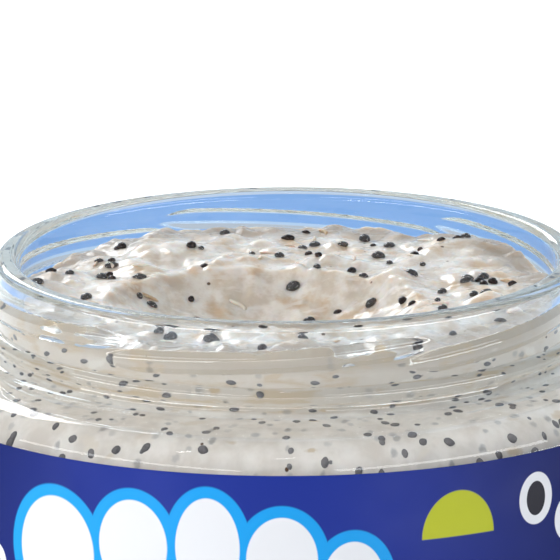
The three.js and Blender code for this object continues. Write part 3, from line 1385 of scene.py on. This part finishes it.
class Copies:
    """Many copies of one small shape, joined into one mesh."""

    def __init__(self, pattern: Solid, rim: bool = False) -> None:
        """Takes the shape from a pattern object, which is then removed.

        Args:
            pattern: The shape, about the origin.
            rim: Whether each vertex keeps its distance from the shape's upright axis.
        """
        self.shape = places_of(pattern)
        self.faces = [tuple(face.vertices) for face in pattern.data.polygons]
        self.edge = np.hypot(self.shape[:, 0], self.shape[:, 1]) if rim else None
        bpy.data.objects.remove(pattern)

    def lay(self, name: str, centres: np.ndarray, normals: np.ndarray, lot: Lot) -> Solid:
        """Lays the copies on a surface, each with its own direction, and joins them.

        Args:
            name: Name of the joined piece.
            centres: Place of each copy.
            normals: Direction of each copy's own Z.
            lot: How each copy lies, with its heading about that direction.

        Returns:
            The joined piece.
        """
        zero = np.zeros_like(lot.headings)
        aside = np.stack([-np.sin(lot.headings), np.cos(lot.headings), zero], axis=1)
        first = np.cross(aside, normals)
        first /= np.linalg.norm(first, axis=1)[:, None]
        axes = np.stack([first, np.cross(normals, first), normals], axis=1)
        stretched = self.shape[None] * lot.sizes[:, None, :]
        places = np.einsum("nvk,nkc->nvc", stretched, axes) + centres[:, None]
        return self.join(name, places, lot.shades)

    def wrap(self, name: str, wall: InnerWall, spots: np.ndarray, lot: Lot) -> Solid:
        """Wraps the copies onto the inside of the glass, so that they follow its curves.

        Args:
            name: Name of the joined piece.
            wall: The inside of the glass.
            spots: Way, angle and lift of each copy.
            lot: How each copy lies, with heading 0 for a long side round the jar.

        Returns:
            The joined piece.
        """
        local = self.shape[None] * lot.sizes[:, None, :]
        turn_x, turn_y = np.cos(lot.headings)[:, None], np.sin(lot.headings)[:, None]
        round_jar = local[..., 0] * turn_x - local[..., 1] * turn_y
        down = -local[..., 0] * turn_y - local[..., 1] * turn_x
        radius = wall.read(spots[:, 0:1], wall.radius)
        angle = spots[:, 1:2] + round_jar / radius
        places = wall.at(spots[:, 0:1] + down, angle, spots[:, 2:3] + local[..., 2])
        return self.join(name, places, lot.shades)

    def join(self, name: str, places: np.ndarray, shades: np.ndarray) -> Solid:
        """Joins the copies into one smooth mesh.

        Args:
            name: The mesh's name.
            places: Each copy's vertex places.
            shades: Each copy's number for the material.

        Returns:
            The joined piece.
        """
        count = len(self.shape)
        faces = [tuple(v + k * count for v in face) for k in range(len(places)) for face in self.faces]
        mesh = bpy.data.meshes.new(name)
        mesh.from_pydata(places.reshape(-1, 3).tolist(), [], faces)
        solid = bpy.data.objects.new(name, mesh)
        bpy.context.scene.collection.objects.link(solid)
        numbers = {"shade": np.repeat(shades, count)}
        if self.edge is not None:
            numbers["rim"] = np.tile(self.edge, len(places))
        for title, values in numbers.items():
            attribute = mesh.attributes.new(title, "FLOAT", "POINT")
            attribute.data.foreach_set("value", values.astype(np.float32))
        smooth(solid, COPIES_SHARP)
        return solid


@dataclass(frozen=True)
class SeedSpread:
    """Seeds that are spread evenly over the top, of about one size."""

    spiral: Spiral
    size: float
    size_swing: float


@dataclass(frozen=True)
class SeedGroup:
    """A few seeds close together: one in the middle and the others round it."""

    x: float
    y: float
    count: int
    spacing: float


@dataclass
class OpenSeeds:
    """The seeds that lie in the open top, with the clear gel that they have soaked up."""

    form: JarForm
    surface: PuddingSurface
    coat: SeedFinish
    gel: GelFinish
    halves: Point3 = (0.95 * MM, 0.675 * MM, 0.6 * MM)
    halves_swing: float = 0.1
    lift: float = 0.2
    lift_swing: float = 0.44
    edge_margin: float = 2.2 * MM
    large: SeedSpread = SeedSpread(Spiral(50, 0.6, 0.9, 0.35, salt=4), 0.95, 0.12)
    small: SeedSpread = SeedSpread(Spiral(46, 0.2, 2.3, 0.6, salt=8), 0.72, 0.2)
    groups: tuple[SeedGroup, ...] = (
        SeedGroup(28 * MM, 4.5 * MM, 6, 2.1 * MM),
        SeedGroup(-27.5 * MM, 10 * MM, 2, 1.9 * MM),
    )
    gel_size: float = 1.28
    gel_threshold: float = -0.2

    def spread(self, seeds: SeedSpread) -> np.ndarray:
        """Places seeds that are spread evenly.

        Args:
            seeds: The seeds.

        Returns:
            A row of x, y, heading and size for each.
        """
        number = np.arange(seeds.spiral.count)
        places = seeds.spiral.places(self.form.bore_radius - self.edge_margin)
        size = seeds.size + seeds.size_swing * scatter(number, seeds.spiral.salt + 1)
        heading = math.pi * scatter(number, seeds.spiral.salt + 2)
        return np.column_stack([places, heading, size])

    def grouped(self) -> list[tuple[float, float, float, float]]:
        """Places the seeds of the groups.

        Returns:
            A row of x, y, heading and size for each.
        """
        rows = []
        for number, group in enumerate(self.groups):
            for k in range(group.count):
                angle = k * TAU / (group.count - 1) + number
                far = group.spacing if k else 0
                spot = (group.x + far * math.cos(angle), group.y + far * math.sin(angle))
                rows.append((*spot, math.pi * scatter(k, 7), 1.0))
        return rows

    def build(self) -> list[Solid]:
        """Models the seeds and their gel and joins them to the body.

        Returns:
            The two finished pieces.
        """
        rows = np.vstack([self.spread(self.large), self.grouped(), self.spread(self.small)])
        numbers = np.arange(len(rows))
        places, normals = self.surface.frames(rows[:, :2])
        sizes = np.array(self.halves) * rows[:, 3:4] * uneven(numbers, self.halves_swing, 11)
        lift = (self.lift - self.lift_swing * np.abs(scatter(numbers, 14))) * self.halves[2]
        centres = places + normals * lift[:, None]
        lot = Lot(rows[:, 2], sizes, fraction(numbers, 15))
        seeds = Copies(model_seed(16, 9)).lay("open_seeds", centres, normals, lot)
        hand_over(seeds, Slot.PUDDING, [self.coat.material()])
        wet = scatter(numbers, 16) > self.gel_threshold
        swollen = Lot(lot.headings, sizes * self.gel_size, lot.shades).pick(wet)
        gel = Copies(model_seed(20, 11)).lay("seed_gel", centres[wet], normals[wet], swollen)
        hand_over(gel, Slot.PUDDING, [self.gel.material()])
        return [seeds, gel]


@dataclass
class PressedSeeds:
    """The seeds that lie against the inside of the glass, some of them deeper in the pudding."""

    wall: InnerWall
    coat: SeedFinish
    pudding: PuddingFinish
    area_each: float = 8.4 * MM * MM
    way_sway: float = 0.45
    angle_sway: float = 0.12
    drift: float = 0.4 * MM
    label_span: Span = (17 * MM, 65 * MM)
    neck_bottom: float = 72.6 * MM
    near_half: Point3 = (0.76 * MM, 0.58 * MM, 0.52 * MM)
    near_share: float = 0.45
    near_shades: Span = (0.03, 0.3)
    neck_size: Point3 = (0.95, 0.6, 0.8)
    neck_share: float = 0.7
    neck_shades: Span = (0.05, 0.25)
    neck_tilt: float = 0.12
    size: Span = (0.92, 0.16)
    depth: Span = (-0.4 * MM, 0.1 * MM)
    deep_half: Point3 = (1.05 * MM, 0.8 * MM, 0.05 * MM)
    deep_lift: float = 0.05 * MM
    deep_shades: Span = (0.2, 0.35)

    def spread(self) -> np.ndarray:
        """Spreads seeds evenly over the inside of the glass, apart from the label's part.

        Returns:
            A row of way and angle for each seed.
        """
        wall = self.wall
        runs = np.diff(wall.way)
        areas = math.pi * (wall.radius[:-1] + wall.radius[1:]) * runs
        shown = (wall.height[1:] > self.label_span[1]) | (wall.height[:-1] < self.label_span[0])
        passed = np.concatenate([[0], np.cumsum(np.where(shown, areas, 0))])
        number = np.arange(int(passed[-1] / self.area_each))
        spot = (number + 0.5 + self.way_sway * scatter(number, 20)) * self.area_each
        piece = np.clip(np.searchsorted(passed, spot, side="right") - 1, 0, len(runs) - 1)
        share = (spot - passed[piece]) / np.maximum(passed[piece + 1] - passed[piece], 1e-12)
        way = wall.way[piece] + share * runs[piece] + self.drift * scatter(number, 22)
        angle = number * GOLDEN_ANGLE + self.angle_sway * scatter(number, 21)
        return np.stack([way, angle], axis=1)

    def build(self) -> list[Solid]:
        """Models the seeds and joins them to the body.

        Returns:
            The near ones' piece and the deep ones' piece.
        """
        rows = self.spread()
        number = np.arange(len(rows))
        in_neck = self.wall.read(rows[:, 0], self.wall.height) > self.neck_bottom
        near = fraction(number, 42) < np.where(in_neck, self.neck_share, self.near_share)
        headings = math.pi * scatter(number, 40) * np.where(in_neck, self.neck_tilt, 1)
        size = (self.size[0] + self.size[1] * scatter(number, 41))[:, None]
        low, high = self.depth
        spots = np.column_stack([rows, low + (high - low) * np.sqrt(fraction(number, 43))])
        start, reach = np.where(in_neck[:, None], self.neck_shades, self.near_shades).T
        sizes = np.array(self.near_half) * size * np.where(in_neck[:, None], self.neck_size, 1)
        lot = Lot(headings, sizes, start + reach * fraction(number, 44)).pick(near)
        pressed = Copies(model_seed(10, 7)).wrap("pressed_seeds", self.wall, spots[near], lot)
        hand_over(pressed, Slot.PUDDING, [self.coat.pressed_material()])
        spots[:, 2] = self.deep_lift
        start, reach = self.deep_shades
        sizes = np.array(self.deep_half) * size
        lot = Lot(headings, sizes, start + reach * fraction(number, 45)).pick(~near)
        deep = Copies(model_lens(), rim=True).wrap("deep_seeds", self.wall, spots[~near], lot)
        hand_over(deep, Slot.PUDDING, [self.coat.deep_material(self.pudding)])
        return [pressed, deep]


@dataclass
class PressedCoconut:
    """Coconut bits that lie against the inside of the glass, from cream to toasted."""

    seeds: PressedSeeds
    finish: CoconutFinish
    half: Point3 = (2.1 * MM, 0.8 * MM, 0.04 * MM)
    size_swing: float = 0.5
    every: int = 6
    turn: float = math.radians(3.1)
    lift: float = 0.04 * MM
    tilt: float = 0.5
    toast: Span = (0.35, 0.65)
    least_toast: float = 0.03

    def build(self) -> Solid:
        """Models the bits and joins them to the body.

        Returns:
            The finished piece.
        """
        rows = self.seeds.spread()
        number = np.arange(len(rows))[:: self.every]
        spots = np.column_stack([rows[number] + (0, self.turn), np.full(len(number), self.lift)])
        size = 1 + self.size_swing * scatter(number, 61)
        sizes = np.array(self.half) * np.stack([size, size, np.ones_like(size)], axis=1)
        toast = np.clip(self.toast[0] + self.toast[1] * scatter(number, 62), self.least_toast, 1)
        lot = Lot(self.tilt * scatter(number, 63), sizes, toast)
        bits = Copies(model_lens(), rim=True).wrap("pressed_coconut", self.seeds.wall, spots, lot)
        return hand_over(bits, Slot.PUDDING, [self.finish.pressed_material(self.seeds.pudding)])


@dataclass
class Shreds:
    """Coconut shreds and toasted bits that lie on the open top."""

    form: JarForm
    surface: PuddingSurface
    finish: CoconutFinish
    spiral: Spiral = Spiral(34, 0.7, 4.1, 0.5, salt=50)
    edge_margin: float = 3 * MM
    half: Point3 = (1.3 * MM, 0.36 * MM, 0.22 * MM)
    half_swing: float = 0.45
    toast: Span = (0.25, 0.75)
    toast_power: float = 1.5
    sides: int = 7
    cuts: tuple[float, ...] = (-0.6, -0.2, 0.2, 0.6)
    narrowing: float = 0.75
    rise: float = 1.2
    bow: float = 1.6
    bow_turn: float = 2.2

    def pattern(self) -> Solid:
        """Models one shred: a bar with round ends and a slight bow.

        Returns:
            The shred, with half lengths of about 1.
        """
        deselect_all()
        bpy.ops.mesh.primitive_cylinder_add(vertices=self.sides, radius=1, depth=2, end_fill_type="TRIFAN")
        shred = bpy.context.object
        open_mesh(shred)
        bpy.ops.transform.rotate(value=QUARTER, orient_axis="Y", center_override=(0, 0, 0))
        for cut in self.cuts:
            bpy.ops.mesh.select_all(action="SELECT")
            bpy.ops.mesh.bisect(plane_co=(cut, 0, 0), plane_no=(1, 0, 0))
        close_mesh()
        places = places_of(shred)
        along = places[:, 0]
        places[:, 1:] *= (1 - self.narrowing * np.abs(along) ** 3)[:, None]
        places[:, 2] += self.rise * (0.5 - along**2)
        places[:, 1] += self.bow * np.sin(along * self.bow_turn)
        set_places(shred, places)
        return shred

    def build(self) -> Solid:
        """Models the shreds and joins them to the body.

        Returns:
            The finished piece.
        """
        number = np.arange(self.spiral.count)
        spots = self.spiral.places(self.form.bore_radius - self.edge_margin)
        places, normals = self.surface.frames(spots)
        sizes = np.array(self.half) * uneven(number, self.half_swing, 51)
        toast = np.clip(self.toast[0] + self.toast[1] * scatter(number, 54), 0, 1) ** self.toast_power
        lot = Lot(math.pi * scatter(number, 55), sizes, toast)
        shreds = Copies(self.pattern()).lay("coconut_shreds", places, normals, lot)
        return hand_over(shreds, Slot.PUDDING, [self.finish.material()])


@dataclass(frozen=True)
class Oval:
    """An upright oval in the label's print: its middle from the repeat's middle, and half sizes."""

    across: float
    height: float
    half_width: float
    half_height: float


@dataclass(frozen=True)
class PrintedFilm:
    """The label's printed film: deep blue, with plain ringed ovals, half rounds and seed dots.

    Painted shade darkens the blue from the middle of each repeat towards its sides.
    """

    navy: Colour = (0.014, 0.034, 0.29)
    # Painted shade: the darker blue at the sides of each repeat.
    shaded_navy: Colour = (0.005, 0.013, 0.12)
    cyan: Colour = (0.012, 0.36, 0.85)
    white: Colour = (0.84, 0.85, 0.88)
    green: Colour = (0.52, 0.56, 0.03)
    ink: Colour = (0.02, 0.02, 0.03)
    repeats: int = 3
    ring: float = 1.7 * MM
    rind: float = 1.3 * MM
    edge: Span = (1.02, 0.98)
    cut: float = 0.12 * MM
    # Painted shade: the middle, the distances and the unevenness of the blue's darkening towards the sides.
    shade_middle: float = -5 * MM
    fade: Span = (12 * MM, 54 * MM)
    shade_cloud: Cloud = Cloud(20 * MM, 1, 0.5, 0, 1, -4 * MM, 4 * MM)
    gloss: Cloud = Cloud(5 * MM, 3, 0.5, 0.3, 0.7, 0.36, 0.46)
    ripple: Relief = Relief(18 * MM, 2, 0.1 * MM, 0.5)
    pebbles: tuple[Oval, ...] = (
        Oval(-35 * MM, 54 * MM, 6.4 * MM, 8.0 * MM),
        Oval(-22.5 * MM, 56.5 * MM, 5.2 * MM, 6.6 * MM),
        Oval(-11.5 * MM, 57 * MM, 4.6 * MM, 7.2 * MM),
        Oval(-1 * MM, 55.5 * MM, 5.0 * MM, 6.2 * MM),
        Oval(9 * MM, 52 * MM, 4.4 * MM, 6.0 * MM),
        Oval(-28 * MM, 41 * MM, 6.0 * MM, 5.0 * MM),
        Oval(-14 * MM, 42 * MM, 7.0 * MM, 5.4 * MM),
        Oval(1 * MM, 40 * MM, 6.2 * MM, 5.0 * MM),
    )
    domes: tuple[Oval, ...] = (
        Oval(24.5 * MM, 57.5 * MM, 5.6 * MM, 6.6 * MM),
        Oval(39 * MM, 45 * MM, 5.2 * MM, 6.0 * MM),
        Oval(-45 * MM, 33 * MM, 5.2 * MM, 6.0 * MM),
    )
    seeds: tuple[Oval, ...] = (
        Oval(37.5 * MM, 61 * MM, 3.0 * MM, 3.8 * MM),
        Oval(43.5 * MM, 57 * MM, 2.4 * MM, 3.2 * MM),
        Oval(21 * MM, 41 * MM, 2.6 * MM, 3.4 * MM),
        Oval(-47 * MM, 50 * MM, 2.4 * MM, 3.2 * MM),
        Oval(14 * MM, 28 * MM, 2.4 * MM, 3.2 * MM),
    )

    def fill(self, sketch: Sketch, spot: Socket, ovals: Iterable[Oval], grow: float = 0.0) -> Socket:
        """Gives 1 inside any of some ovals and 0 outside them.

        Args:
            sketch: The material.
            spot: Place on the unrolled label.
            ovals: The ovals.
            grow: How much larger they are taken.

        Returns:
            The share that is filled.
        """
        least = None
        for oval in ovals:
            moved = sketch.vector("SUBTRACT", spot, (oval.across, oval.height, 0)).outputs[0]
            halves = (1 / (oval.half_width + grow), 1 / (oval.half_height + grow), 0)
            scaled = sketch.vector("MULTIPLY", moved, halves).outputs[0]
            far = sketch.vector("LENGTH", scaled).outputs["Value"]
            least = far if least is None else sketch.math("MINIMUM", least, far)
        return sketch.ease(least, *self.edge)

    def unrolled(self, sketch: Sketch, radius: float) -> tuple[Socket, Socket]:
        """Unrolls the label and folds its repeats onto one another.

        Args:
            sketch: The material.
            radius: The label's outer radius.

        Returns:
            The way round from the repeat's middle, and the height.
        """
        x, y, z = sketch.axes()
        angle = sketch.math("ARCTAN2", x, sketch.math("MULTIPLY", y, -1.0))
        half_period = math.pi * radius / self.repeats
        arc = sketch.math("MULTIPLY", angle, radius)
        return sketch.math("WRAP", arc, half_period, -half_period), z

    def material(self, radius: float) -> Material:
        """Makes the printed film.

        Args:
            radius: The label's outer radius.

        Returns:
            The material.
        """
        sketch = Sketch("printed_film")
        across, height = self.unrolled(sketch, radius)
        spot = sketch.add("ShaderNodeCombineXYZ", across, height).outputs[0]
        # Painted shade: the blue darkens away from the repeat's middle.
        aside = sketch.math("ABSOLUTE", sketch.math("ADD", across, -self.shade_middle))
        fade = sketch.math("ADD", aside, sketch.cloud(self.shade_cloud))
        colour = sketch.mix(sketch.ease(fade, *self.fade), self.navy, self.shaded_navy)
        colour = sketch.mix(self.fill(sketch, spot, self.pebbles, self.ring), colour, self.cyan)
        colour = sketch.mix(self.fill(sketch, spot, self.pebbles), colour, self.white)
        for dome in self.domes:
            above = sketch.ease(height, dome.height - self.cut, dome.height + self.cut)
            half = sketch.math("MULTIPLY", self.fill(sketch, spot, [dome]), above)
            colour = sketch.mix(half, colour, self.green)
        colour = sketch.mix(self.fill(sketch, spot, self.seeds), colour, self.white)
        colour = sketch.mix(self.fill(sketch, spot, self.seeds, -self.rind), colour, self.ink)
        return sketch.finish(
            Base_Color=colour,
            Roughness=sketch.cloud(self.gloss),
            Specular_IOR_Level=0.08,
            Normal=sketch.bump(self.ripple),
        )


@dataclass
class WrapLabel:
    """The label: a thin printed sleeve that stops short of itself at the back."""

    film: PrintedFilm
    bottom: float
    top: float
    outer_radius: float
    thickness: float = 0.2 * MM
    gap: float = 4 * MM
    steps_round: int = 320
    edge_round: float = 0.05 * MM
    edge_steps: int = 2
    edge_angle: float = math.radians(60)
    sharp: float = math.radians(30)

    def round_edges(self, label: Solid) -> None:
        """Rounds the sleeve's edges a little.

        Args:
            label: The sleeve.
        """
        make_active(label)
        bevel = label.modifiers.new("Edges", "BEVEL")
        bevel.width = self.edge_round
        bevel.segments = self.edge_steps
        bevel.limit_method = "ANGLE"
        bevel.angle_limit = self.edge_angle
        bpy.ops.object.modifier_apply(modifier=bevel.name)

    def build(self) -> Solid:
        """Models the sleeve and joins it to the body.

        Returns:
            The finished piece.
        """
        inner = self.outer_radius - self.thickness
        corners = [(inner, self.bottom), (self.outer_radius, self.bottom)]
        corners += [(self.outer_radius, self.top), (inner, self.top), corners[0]]
        label = draw_line(corners, "wrap_label")
        tidy_shell(label)
        half_gap = self.gap / 2 / self.outer_radius
        open_mesh(label)
        bpy.ops.transform.rotate(value=-(QUARTER + half_gap), orient_axis="Z", center_override=(0, 0, 0))
        bpy.ops.mesh.edge_face_add()
        close_mesh()
        spin_line(label, self.steps_round, TAU - 2 * half_gap)
        settle(label, "wrap_label")
        self.round_edges(label)
        smooth(label, self.sharp)
        return hand_over(label, Slot.FILM, [self.film.material(self.outer_radius)], CadNode.LABEL)


@dataclass(frozen=True)
class Softbox:
    """A flat, soft studio light that points at the jar.

    A light that isn't diffuse only shows in reflections and through the glass, and one that isn't
    glossy only lights what isn't shiny.
    """

    name: str
    place: Point3
    width: float
    height: float
    power: float
    colour: Colour = (1.0, 1.0, 1.0)
    aim: Point3 = (0.0, 0.0, 0.06)
    glossy: bool = True
    diffuse: bool = True


@dataclass(frozen=True)
class Glow:
    """A glowing sheet's name, its low and high glow, and the heights between which they pass over."""

    name: str
    low: Colour
    high: Colour
    fade: Span
    in_gloss: bool = False


@dataclass
class Studio:
    """The floor, the lights, the pale-blue card behind the jar, and the camera."""

    lights: tuple[Softbox, ...] = (
        Softbox("key_light", (-1.15, -0.45, 0.7), 0.6, 0.6, 9, glossy=False),
        Softbox("left_strip", (-1.0, -0.75, 0.8), 2.0, 0.16, 4.5, diffuse=False),
        Softbox("left_low_strip", (-1.1, -0.75, 0.11), 1.5, 0.16, 8, diffuse=False),
        Softbox("front_light", (-0.45, -1.3, 0.7), 0.6, 0.5, 1, glossy=False),
        Softbox("right_light", (1.1, -0.95, 0.6), 0.6, 0.5, 1.2, glossy=False),
        Softbox("right_strip", (1.0, -0.8, 0.84), 1.9, 0.2, 6, diffuse=False),
        Softbox("right_low_strip", (1.1, -0.8, 0.12), 1.7, 0.18, 12, diffuse=False),
        Softbox("front_strip", (0, -1.35, 0.08), 2.0, 0.1, 3.5, diffuse=False),
        Softbox("top_light", (-0.2, -0.25, 1.25), 0.45, 0.3, 1.8, glossy=False),
        Softbox("top_strip", (-0.2, -0.25, 1.25), 0.5, 0.12, 1.9, diffuse=False),
        Softbox("back_light", (-0.38, 1.04, 0.7), 0.32, 0.62, 4, diffuse=False),
        Softbox("rear_fill", (0.2, 1.2, 0.6), 1.2, 0.8, 23, (0.72, 0.87, 1.0), glossy=False),
        Softbox("floor_light", (0, 0.9, 0.7), 1.4, 0.6, 4, aim=(0, 0.55, 0), glossy=False),
    )
    floor_side: float = 8
    floor_pale: Colour = (0.86, 0.86, 0.865)
    floor_white: Colour = (0.89, 0.89, 0.895)
    floor_grain: float = 12 * MM
    floor_glow: float = 0.5
    glow_cloud: Cloud = Cloud(60 * MM, 1, 0.5, 0.3, 0.7, -5 * MM, 5 * MM)
    card_distance: float = 0.16
    card_size: Point = (0.8, 0.07)
    card_glow: Glow = Glow("blue_card", (0.24, 0.45, 0.84), (0.5, 0.68, 0.9), (0.047, 0.058))
    wall_distance: float = 2.2
    wall_size: Point = (7.0, 2.4)
    wall_glow: Glow = Glow("pale_wall", (0.5, 0.56, 0.64), (0.5, 0.56, 0.64), (0, 2.4), in_gloss=True)
    dome_radius: float = 3.7
    dome_glow: Glow = Glow("pale_dome", (0.5, 0.6, 0.76), (0.56, 0.66, 0.8), (0.1, 2.5))
    ring_radii: Span = (62 * MM, 3.6)
    ring_glow: Glow = Glow("pale_ring", (0.6, 0.72, 0.9), (0.5, 0.6, 0.76), (-MM, 3 * MM))
    air_colour: Colour = (0.93, 0.96, 1.0)
    air_strength: float = 0.32
    rim_height: float = 84.7 * MM
    view_distance: float = 1.0
    view_down: float = math.radians(13.85)
    view_aside: float = -1.14 * MM
    view_clip: Span = (0.05, 50)
    pitch_down: float = math.radians(14.01)
    roll: float = math.radians(-0.21)
    focal_pixels: float = 6854

    def floor(self) -> None:
        """Lays a plain pale floor."""
        deselect_all()
        bpy.ops.mesh.primitive_plane_add(size=self.floor_side, location=(0, 0, 0))
        floor = bpy.context.object
        floor.name = "studio_floor"
        sketch = Sketch("floor_paper")
        paper = sketch.finish(
            Base_Color=sketch.mix(sketch.noise(self.floor_grain, 2), self.floor_pale, self.floor_white),
            Roughness=0.8,
            Specular_IOR_Level=0.2,
            Emission_Color=(1, 1, 1),
            Emission_Strength=self.floor_glow,
        )
        floor.data.materials.append(paper)

    def light_up(self, sheet: Solid, glow: Glow) -> None:
        """Makes a sheet glow, seen only through glass and in it.

        Args:
            sheet: The sheet.
            glow: Its name and glow.
        """
        settle(sheet, glow.name)
        sketch = Sketch(f"{glow.name}_paper")
        height = sketch.math("ADD", sketch.axes()[2], sketch.cloud(self.glow_cloud))
        paper = sketch.finish(
            Base_Color=(0, 0, 0),
            Emission_Color=sketch.mix(sketch.ease(height, *glow.fade), glow.low, glow.high),
            Emission_Strength=1.0,
            Specular_IOR_Level=0.0,
        )
        sheet.data.materials.append(paper)
        sheet.visible_camera = False
        sheet.visible_diffuse = False
        sheet.visible_glossy = glow.in_gloss
        sheet.visible_shadow = False

    def upright(self, distance: float, size: Point, glow: Glow) -> None:
        """Stands a glowing sheet behind the jar.

        Args:
            distance: How far behind it.
            size: The sheet's width and height.
            glow: Its name and glow.
        """
        deselect_all()
        middle = (0, distance, size[1] / 2)
        bpy.ops.mesh.primitive_plane_add(size=1, location=middle, rotation=(QUARTER, 0, 0))
        sheet = bpy.context.object
        sheet.scale = (*size, 1)
        self.light_up(sheet, glow)

    def dome(self) -> None:
        """Puts a wide pale dome over everything."""
        deselect_all()
        bpy.ops.mesh.primitive_uv_sphere_add(segments=48, ring_count=24, radius=self.dome_radius)
        self.light_up(bpy.context.object, self.dome_glow)

    def ring(self) -> None:
        """Lays a pale blue-grey sheet on the floor, with a round hole for the jar."""
        deselect_all()
        inner, outer = self.ring_radii
        bpy.ops.mesh.primitive_circle_add(vertices=48, radius=inner, location=(0, 0, MM))
        ring = bpy.context.object
        open_mesh(ring)
        bpy.ops.mesh.extrude_region_move()
        bpy.ops.transform.resize(value=(outer / inner, outer / inner, 1), center_override=(0, 0, MM))
        close_mesh()
        self.light_up(ring, self.ring_glow)

    def hang(self, softbox: Softbox) -> None:
        """Hangs one soft light and points it.

        Args:
            softbox: The light.
        """
        light = bpy.data.lights.new(softbox.name, "AREA")
        light.shape = "RECTANGLE"
        light.size = softbox.width
        light.size_y = softbox.height
        light.energy = softbox.power
        light.color = softbox.colour
        lamp = bpy.data.objects.new(softbox.name, light)
        lamp.location = softbox.place
        lamp.rotation_euler = (Vector(softbox.aim) - lamp.location).to_track_quat("-Z", "Y").to_euler()
        lamp.visible_camera = False
        lamp.visible_transmission = not softbox.diffuse
        lamp.visible_glossy = softbox.glossy
        lamp.visible_diffuse = softbox.diffuse
        bpy.context.scene.collection.objects.link(lamp)

    def sky(self) -> None:
        """Fills the studio with faint even light."""
        world = bpy.data.worlds.new("studio_air")
        world.use_nodes = True
        background = world.node_tree.nodes["Background"]
        background.inputs["Color"].default_value = (*self.air_colour, 1.0)
        background.inputs["Strength"].default_value = self.air_strength
        bpy.context.scene.world = world

    def camera(self) -> None:
        """Sets up the camera at the photograph's viewing angle."""
        data = bpy.data.cameras.new("view_camera")
        data.sensor_width = SENSOR_WIDTH
        data.lens = self.focal_pixels * SENSOR_WIDTH / PICTURE_SIDE
        data.clip_start, data.clip_end = self.view_clip
        back = self.view_distance * math.cos(self.view_down)
        height = self.rim_height + self.view_distance * math.sin(self.view_down)
        turn = Matrix.Rotation(QUARTER - self.pitch_down, 4, "X") @ Matrix.Rotation(self.roll, 4, "Z")
        camera = bpy.data.objects.new("view_camera", data)
        camera.matrix_world = Matrix.Translation((self.view_aside, -back, height)) @ turn
        bpy.context.scene.collection.objects.link(camera)
        bpy.context.scene.camera = camera

    def build(self) -> None:
        """Sets up the whole studio."""
        self.floor()
        self.upright(self.card_distance, self.card_size, self.card_glow)
        self.upright(self.wall_distance, self.wall_size, self.wall_glow)
        self.dome()
        self.ring()
        for softbox in self.lights:
            self.hang(softbox)
        self.sky()
        self.camera()
        scene = bpy.context.scene
        scene.view_settings.view_transform = "Standard"
        scene.cycles.use_denoising = True


def main() -> None:
    """Builds the studio and the filled jar, and reports each piece."""
    logging.basicConfig(level=logging.INFO, format="%(message)s")
    Studio().build()
    low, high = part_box(CadNode.JAR.value)
    form = JarForm(height=high.z, body_radius=(high.x - low.x) / 2)
    surface = PuddingSurface(form)
    pudding = PuddingFinish()
    coat = SeedFinish()
    coconut = CoconutFinish()
    GlassJar(form, ClearGlass()).build()
    Pudding(form, surface, pudding).build()
    OpenSeeds(form, surface, coat, GelFinish()).build()
    pressed = PressedSeeds(InnerWall(form, surface.level - surface.edge_drop), coat, pudding)
    pressed.build()
    PressedCoconut(pressed, coconut).build()
    Shreds(form, surface, coconut).build()
    low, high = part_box(CadNode.LABEL.value)
    WrapLabel(PrintedFilm(), bottom=low.z, top=high.z, outer_radius=(high.x - low.x) / 2).build()


if __name__ == "__main__":
    main()
